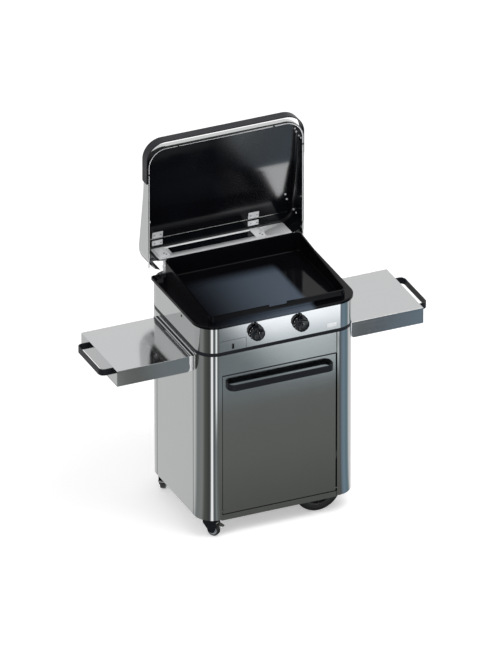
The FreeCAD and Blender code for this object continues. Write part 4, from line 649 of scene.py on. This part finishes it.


# Grease drawer
# A stainless front on a galvanised tray, which slides in a slot of the
# console. Black strips in the slot above it and at its right are painted shade.
finish_nodes(console_steel, "drawer_front")
finish_nodes(hidden_sheet, "drawer_tray")
shadow_strip_face = -0.2593
shadow_strip_back = -0.2585
shadow_strip_top = 0.8513
# painted shade: thin black strips that stand in for the shadow in the drawer's gap
drawer_shadow_strips = (
    ("top", (-0.2500, 0.8500), (-0.1395, shadow_strip_top)),
    ("right", (-0.1410, 0.8045), (-0.1397, shadow_strip_top)))
for side, (low_x, low_z), (high_x, high_z) in drawer_shadow_strips:
    shadow_strip = bar("drawer_shadow_strip_" + side, low=(low_x, shadow_strip_face, low_z),
                 high=(high_x, shadow_strip_back, high_z), edge=0.0002)
    fit(shadow_strip, seal_rubber, "trolley")


# Gas train
# Brass taps on a brass manifold, and two pressed burners of dull steel, all
# inside the casing.
brass = polished_sheet("brass", (0.62, 0.47, 0.21), stretch=(200, 200, 200),
                       low=0.20, high=0.34, depth=0.05)
finish_nodes(brass, "gas_manifold", "valve_body_left", "valve_body_right", "valve_plug_left",
             "valve_plug_right")
finish_nodes(hidden_sheet, "burner_left", "burner_right")


# Knobs
# Deep knobs of glossy black plastic on zinc plated spindles: a thin skirt
# with a pointer nose, a fluted grip with a hollow for the thumb and a mark in
# its face, and five pale dots on the skirt's left that are painted glints.
knob_plastic = coated("knob_plastic", (0.004, 0.005, 0.007), (0.008, 0.010, 0.014), size=900,
                      low=0.06, high=0.12, depth=0.03, ior=1.45)
finish_nodes(zinc_plate, "knob_spindle_left", "knob_spindle_right")
knob_height = 0.864
knob_back = -0.2636
knob_face = -0.2850
skirt_radius = 0.0312
skirt_thick = 0.0045
grip_radius = 0.0285
grip_sunk = 0.004
round_sides = 96
flutes = 12
flute_out = grip_radius + 0.0030
flute_radius = 0.0048
flute_start = 0.0065
flute_sides = 24
cut_past = 0.002
hollow_left = 0.0095
hollow_up = 0.003
hollow_size = (0.0115, 0.0085, 0.0185)
nose_half = 0.0068
nose_thick = 0.0060
nose_foot = 0.024
nose_bend = 0.034
nose_tip = 0.0445
nose_taper = 0.42
mark_right = 0.003
mark_up = 0.007
mark_out = 0.0002
glint_dots = 5
glint_circle = 0.0296
glint_out = 0.0047
first_glint = 215
glint_step = 27


def disc(name, x, z, back, front, radius, sides):
    """A round disc that faces the front, between two depths."""
    no_selection()
    bpy.ops.mesh.primitive_cylinder_add(
        vertices=sides, radius=radius, depth=back - front, location=(x, (back + front) / 2, z),
        rotation=(math.pi / 2, 0, 0))
    apply_place()
    bpy.context.object.name = name
    return bpy.context.object


def knob(side, x):
    """One knob, joined from its skirt, grip and nose, with its mark and its painted glint dots."""
    body = side + "_knob"
    skirt = disc("skirt", x, knob_height, back=knob_back, front=knob_back - skirt_thick,
                 radius=skirt_radius, sides=round_sides)
    round_off(skirt, edge=0.0012, segments=3)
    grip = disc("grip", x, knob_height, back=knob_back - grip_sunk, front=knob_face,
                radius=grip_radius, sides=round_sides)
    round_off(grip, edge=0.0016, segments=3)
    for step in range(flutes):
        turn = 2 * math.pi * step / flutes
        carve(grip, disc("flute", x + flute_out * math.sin(turn),
                         knob_height + flute_out * math.cos(turn), back=knob_back - flute_start,
                         front=knob_face - cut_past, radius=flute_radius, sides=flute_sides))
    no_selection()
    bpy.ops.mesh.primitive_uv_sphere_add(
        segments=40, ring_count=20, radius=1,
        location=(x - hollow_left, knob_face - cut_past, knob_height + hollow_up))
    hollow = bpy.context.object
    hollow.scale = hollow_size
    apply_place()
    carve(grip, hollow)
    nose = bar("nose", low=(x - nose_half, knob_back - nose_thick, knob_height + nose_foot),
               high=(x + nose_half, knob_back, knob_height + nose_tip), edge=0.0010)
    bpy.ops.object.mode_set(mode="EDIT")
    bpy.ops.mesh.select_all(action="DESELECT")
    bpy.ops.object.mode_set(mode="OBJECT")
    for vertex in nose.data.vertices:
        vertex.select = vertex.co.z > knob_height + nose_bend
    bpy.ops.object.mode_set(mode="EDIT")
    bpy.ops.transform.resize(value=(nose_taper, 1, 1))
    bpy.ops.object.mode_set(mode="OBJECT")
    for part in (skirt, grip, nose):
        part.select_set(True)
    bpy.context.view_layer.objects.active = skirt
    bpy.ops.object.join()
    skirt.name = "fluted_knob_" + side
    bpy.ops.object.shade_smooth_by_angle(angle=math.radians(35))
    fit(skirt, knob_plastic, body)
    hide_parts("knob_" + side)
    place = (x + mark_right, knob_face - mark_out, knob_height + mark_up)
    mark = screw_head("knob_mark_" + side, place, direction=(0, -1, 0), radius=0.0019,
                      height=0.0010)
    fit(mark, zinc_plate, body)
    # painted glints: five pale dots on the skirt's left side stand in for the highlights on the
    # flutes
    for step in range(glint_dots):
        turn = math.radians(first_glint + glint_step * step)
        place = (x + glint_circle * math.sin(turn), knob_back - glint_out,
                 knob_height + glint_circle * math.cos(turn))
        glint_dot = screw_head("knob_glint_dot_%s_%d" % (side, step + 1), place, direction=(0, -1, 0),
                         radius=0.0015, height=0.0012)
        fit(glint_dot, plate_paint, body)


knob("left", -0.100)
knob("right", 0.085)


# Cooking plate
# A cast plate with sloped walls and a rolled rim, enamelled gloss black. A
# bluish grey patch in the middle of its floor is a painted reflection.
enamel = coated("enamel", (0.002, 0.002, 0.003), (0.004, 0.004, 0.005), size=90,
                low=0.05, high=0.12, depth=0.02, ior=1.18)
# painted reflection: the middle of the floor is blended towards a bluish grey that stands in for
# the liner's sheen mirrored there
painted_sheen_grey = (0.074, 0.094, 0.124, 1)
painted_sheen_start = (-0.31, 0.13)
painted_sheen_ends = (("X", (0.125, 0.155)), ("Y", (0.05, 0.14)), ("Z", (0.930, 0.940)))
tree = enamel.node_tree
where = add_node(tree, "ShaderNodeTexCoord", {}).outputs["Object"]
apart = add_node(tree, "ShaderNodeSeparateXYZ", {"Vector": where}).outputs
painted_sheen = smooth_step(tree, apart["X"], *painted_sheen_start)
for axis, end in painted_sheen_ends:
    painted_sheen = combine(tree, "MULTIPLY", painted_sheen, smooth_fall(tree, apart[axis], *end))
black = node_of(tree, "ShaderNodeMix").outputs["Result"]
tree.links.new(blended(tree, painted_sheen, black, painted_sheen_grey),
               node_of(tree, "ShaderNodeBsdfPrincipled").inputs["Base Color"])
finish_nodes(enamel, "griddle_plate")


# Lid
# A deep hood of polished stainless sheet, its edge rolled into a thin hem. A
# pale rear sheet is set back in it, lined and slotted as a vent.
lid_steel = polished_sheet("lid_steel", (0.58, 0.59, 0.59), stretch=(4, 420, 420),
                           low=0.04, high=0.10, depth=0.03)
finish_nodes(lid_steel, "lid_shell")
rear_sheet = coated("rear_sheet", (0.76, 0.77, 0.78), (0.90, 0.91, 0.92), size=40,
                    low=0.32, high=0.45, depth=0.02, metallic=0.2)
finish_nodes(rear_sheet, "lid_rear_plate")
lining_half = 0.2880
lining = bar("rear_lining", low=(-lining_half, 0.2525, 0.9637),
             high=(lining_half, 0.3440, 0.9647), edge=0.0003)
carve(lining, bar("vent", low=(-0.2120, 0.2840, 0.9600), high=(0.1400, 0.3310, 0.9680),
                  edge=0.0030))
fit(lining, rear_sheet, "lid")


def wire(name, half, low_z, high_z, y, corner, radius):
    """A round wire bent down both sides and across the top, open below."""
    no_selection()
    middle = (low_z + high_z) / 2
    bpy.ops.mesh.primitive_plane_add(size=1, rotation=(math.pi / 2, 0, 0), location=(0, y, middle))
    piece = bpy.context.object
    piece.name = name
    piece.scale = (half * 2, high_z - low_z, 1)
    apply_place()
    bpy.ops.object.mode_set(mode="EDIT")
    bpy.ops.mesh.select_all(action="SELECT")
    bpy.ops.mesh.delete(type="ONLY_FACE")
    bpy.ops.mesh.select_all(action="DESELECT")
    bpy.ops.object.mode_set(mode="OBJECT")
    for edge in piece.data.edges:
        edge.select = all(piece.data.vertices[i].co.z < middle for i in edge.vertices)
    bpy.ops.object.mode_set(mode="EDIT")
    bpy.ops.mesh.select_mode(type="EDGE")
    bpy.ops.mesh.delete(type="EDGE")
    bpy.ops.mesh.select_mode(type="VERT")
    bpy.ops.mesh.select_all(action="DESELECT")
    bpy.ops.object.mode_set(mode="OBJECT")
    for vertex in piece.data.vertices:
        vertex.select = vertex.co.z > middle
    bpy.ops.object.mode_set(mode="EDIT")
    bpy.ops.mesh.bevel(offset=corner, segments=14, affect="VERTICES")
    bpy.ops.object.mode_set(mode="OBJECT")
    bpy.ops.object.convert(target="CURVE")
    piece.data.bevel_depth = radius
    piece.data.bevel_resolution = 3
    piece.data.use_fill_caps = True
    bpy.ops.object.convert(target="MESH")
    bpy.ops.object.shade_smooth_by_angle(angle=math.radians(50))
    return bpy.context.object


lid_half = 0.326
lid_edge = 0.250
lid_top = 1.446
hem_foot = 0.940
hem_corner = 0.0745
hem_radius = 0.0029
# painted highlight: the hem is polished steel, coloured near white to stand in for the bright line
# along its edge
steel_white_highlight = coated("steel_white_highlight", (0.88, 0.89, 0.90), (0.94, 0.95, 0.96), size=300,
                   low=0.30, high=0.40, depth=0.02, metallic=0.05)
hem = wire("lid_hem", half=lid_half - hem_radius, low_z=hem_foot, high_z=lid_top - hem_radius,
           y=lid_edge + hem_radius, corner=hem_corner, radius=hem_radius)
fit(hem, steel_white_highlight, "lid")


# Lid liner
# The hood's inner skin, enamelled gloss black and glossier at its upper
# right. A folded seam runs across it between the hinge straps. Screws hold
# the handle's arms and the skin's lower corners, pale as painted glints.
liner_enamel = coated("liner_enamel", (0.003, 0.003, 0.004), (0.005, 0.006, 0.008), size=60,
                      low=0.06, high=0.12, depth=0.015, ior=1.25)
glaze_from_x = (-0.04, 0.10)
glaze_from_z = (1.04, 1.11)
tree = liner_enamel.node_tree
where = add_node(tree, "ShaderNodeTexCoord", {}).outputs["Object"]
apart = add_node(tree, "ShaderNodeSeparateXYZ", {"Vector": where}).outputs
glazed = combine(tree, "MULTIPLY", smooth_step(tree, apart["X"], *glaze_from_x),
                 smooth_step(tree, apart["Z"], *glaze_from_z))
skin = node_of(tree, "ShaderNodeBsdfPrincipled")
skin.inputs["Coat IOR"].default_value = 2.25
skin.inputs["Coat Roughness"].default_value = 0.15
tree.links.new(glazed, skin.inputs["Coat Weight"])
finish_nodes(liner_enamel, "lid_liner")
liner_seam_half = 0.300
liner_seam = bar("liner_seam", low=(-liner_seam_half, 0.3470, 1.0040),
                 high=(liner_seam_half, 0.3486, 1.0062), edge=0.0007)
fit(liner_seam, zinc_plate, "lid")
# pale zinc for the hinge parts, which also colours the screws below as a painted glint
zinc_and_painted_glint = coated("zinc_and_painted_glint", (0.74, 0.75, 0.77), (0.90, 0.91, 0.93), size=120,
                    low=0.25, high=0.40, depth=0.04, metallic=0.15)
# the place of each screw at the right, and the way that its head points
# painted glints: pale screws set where bright glints lie on the liner's walls
glint_screws = (
    ((0.3222, 0.2710, 1.3580), (-1, 0, 0)), ((0.3212, 0.2870, 1.3600), (-0.9, -0.44, 0)),
    ((0.3135, 0.2942, 1.3755), (-0.26, -0.97, 0)), ((0.3063, 0.2925, 1.3918), (0, -1, 0)),
    ((0.2847, 0.3332, 1.0902), (0, -1, 0)), ((0.2928, 0.3375, 1.0655), (0, -1, 0)),
    ((0.3195, 0.3330, 1.0180), (-0.9, -0.44, 0)), ((0.3222, 0.3140, 1.0110), (-1, 0, 0)))
for side, way in (("left", -1), ("right", 1)):
    for number, ((x, y, z), (out_x, out_y, out_z)) in enumerate(glint_screws):
        head = screw_head("arm_glint_screw_%s_%d" % (side, number + 1), place=(way * x, y, z),
                          direction=(way * out_x, out_y, out_z), radius=0.0042, height=0.0034)
        fit(head, zinc_and_painted_glint, "lid")


# Lid hinges
# Zinc plated arms and ears joined by pins. Over each hinge a short strap is
# riveted inside the liner, and its foot lies on the rear sheet's lining.
finish_nodes(zinc_and_painted_glint, "lid_hinge_straps", "lid_hinge_arms", "lid_hinge_brackets")
foot_width = 0.0435
for side, x in (("left", -0.2690), ("right", 0.1345)):
    foot = bar("strap_foot_" + side, low=(x, 0.2720, 0.9640),
               high=(x + foot_width, 0.3420, 0.9664), edge=0.0006)
    fit(foot, zinc_and_painted_glint, "lid")
left_rivets = -0.247
right_rivets = 0.156
strap_face = 0.3408
foot_face = 0.9668
rivet_shift = 0.013
rivet_row = ((left_rivets, 1.0225), (left_rivets, 0.9880),
             (right_rivets, 1.0225), (right_rivets, 0.9880))
for number, (x, z) in enumerate(rivet_row):
    for part, shift in (("a", -rivet_shift), ("b", rivet_shift)):
        rivet = screw_head("strap_rivet_%d%s" % (number + 1, part),
                           place=(x + shift, strap_face, z), direction=(0, -1, 0),
                           radius=0.0032, height=0.0022)
        fit(rivet, zinc_plate, "lid")
for side, x in (("left", left_rivets), ("right", right_rivets)):
    for number, (shift, y) in enumerate(((0.004, 0.292), (0.009, 0.280))):
        rivet = screw_head("foot_rivet_%s_%d" % (side, number + 1),
                           place=(x + shift, y, foot_face), direction=(0, 0, 1),
                           radius=0.0030, height=0.0016)
        fit(rivet, seal_rubber, "lid")


# Lid handle
# A flat bar that wraps the hood's front and runs down both sides in
# round-ended arms, powder coated, and the small rubber bumpers on the rim.
finish_nodes(powder_coat, "lid_handle")
finish_nodes(seal_rubber, "lid_bumpers")


# Shelves
# Folded stainless trays, brushed from side to side, that hook on rails on
# the cabinet's sides. The rails' ends are closed and their edges sealed.
shelf_steel = polished_sheet("shelf_steel", (0.55, 0.555, 0.56), stretch=(3, 380, 380),
                             low=0.08, high=0.16, depth=0.03)
finish_nodes(shelf_steel, "shelf_left", "shelf_right")
rail_steel = polished_sheet("rail_steel", (0.58, 0.59, 0.60), stretch=(380, 3, 380),
                            low=0.06, high=0.12, depth=0.03)
finish_nodes(rail_steel, "wall_rail_left", "wall_rail_right")
cap_near = 0.3262
cap_far = 0.3385
cap_y = 0.1728
cap_half = 0.0010
cap_low = 0.7035
cap_high = 0.7670
seal_half = 0.1740
seal_low = 0.7683
seal_high = 0.7692
for side, way in (("left", -1), ("right", 1)):
    near, far = sorted((way * cap_near, way * cap_far))
    for end, y in (("front", -cap_y), ("rear", cap_y)):
        # painted highlight: the caps are coloured near white like the hem, standing in for their
        # bright edges
        cap = bar("rail_cap_%s_%s" % (side, end), low=(near, y - cap_half, cap_low),
                  high=(far, y + cap_half, cap_high), edge=0.0006)
        fit(cap, steel_white_highlight, "trolley")
    for line, inner, outer in (("inner", 0.3252, 0.3296), ("outer", 0.3360, 0.3400)):
        near, far = sorted((way * inner, way * outer))
        seal = bar("rail_seal_%s_%s" % (side, line), low=(near, -seal_half, seal_low),
                   high=(far, seal_half, seal_high), edge=0.0003)
        fit(seal, seal_rubber, "trolley")


# Shelf handles
# Bent flat steel bars on the shelves' outer ends, powder coated black like
# the door's.
finish_nodes(powder_coat, "shelf_handle_left", "shelf_handle_right")
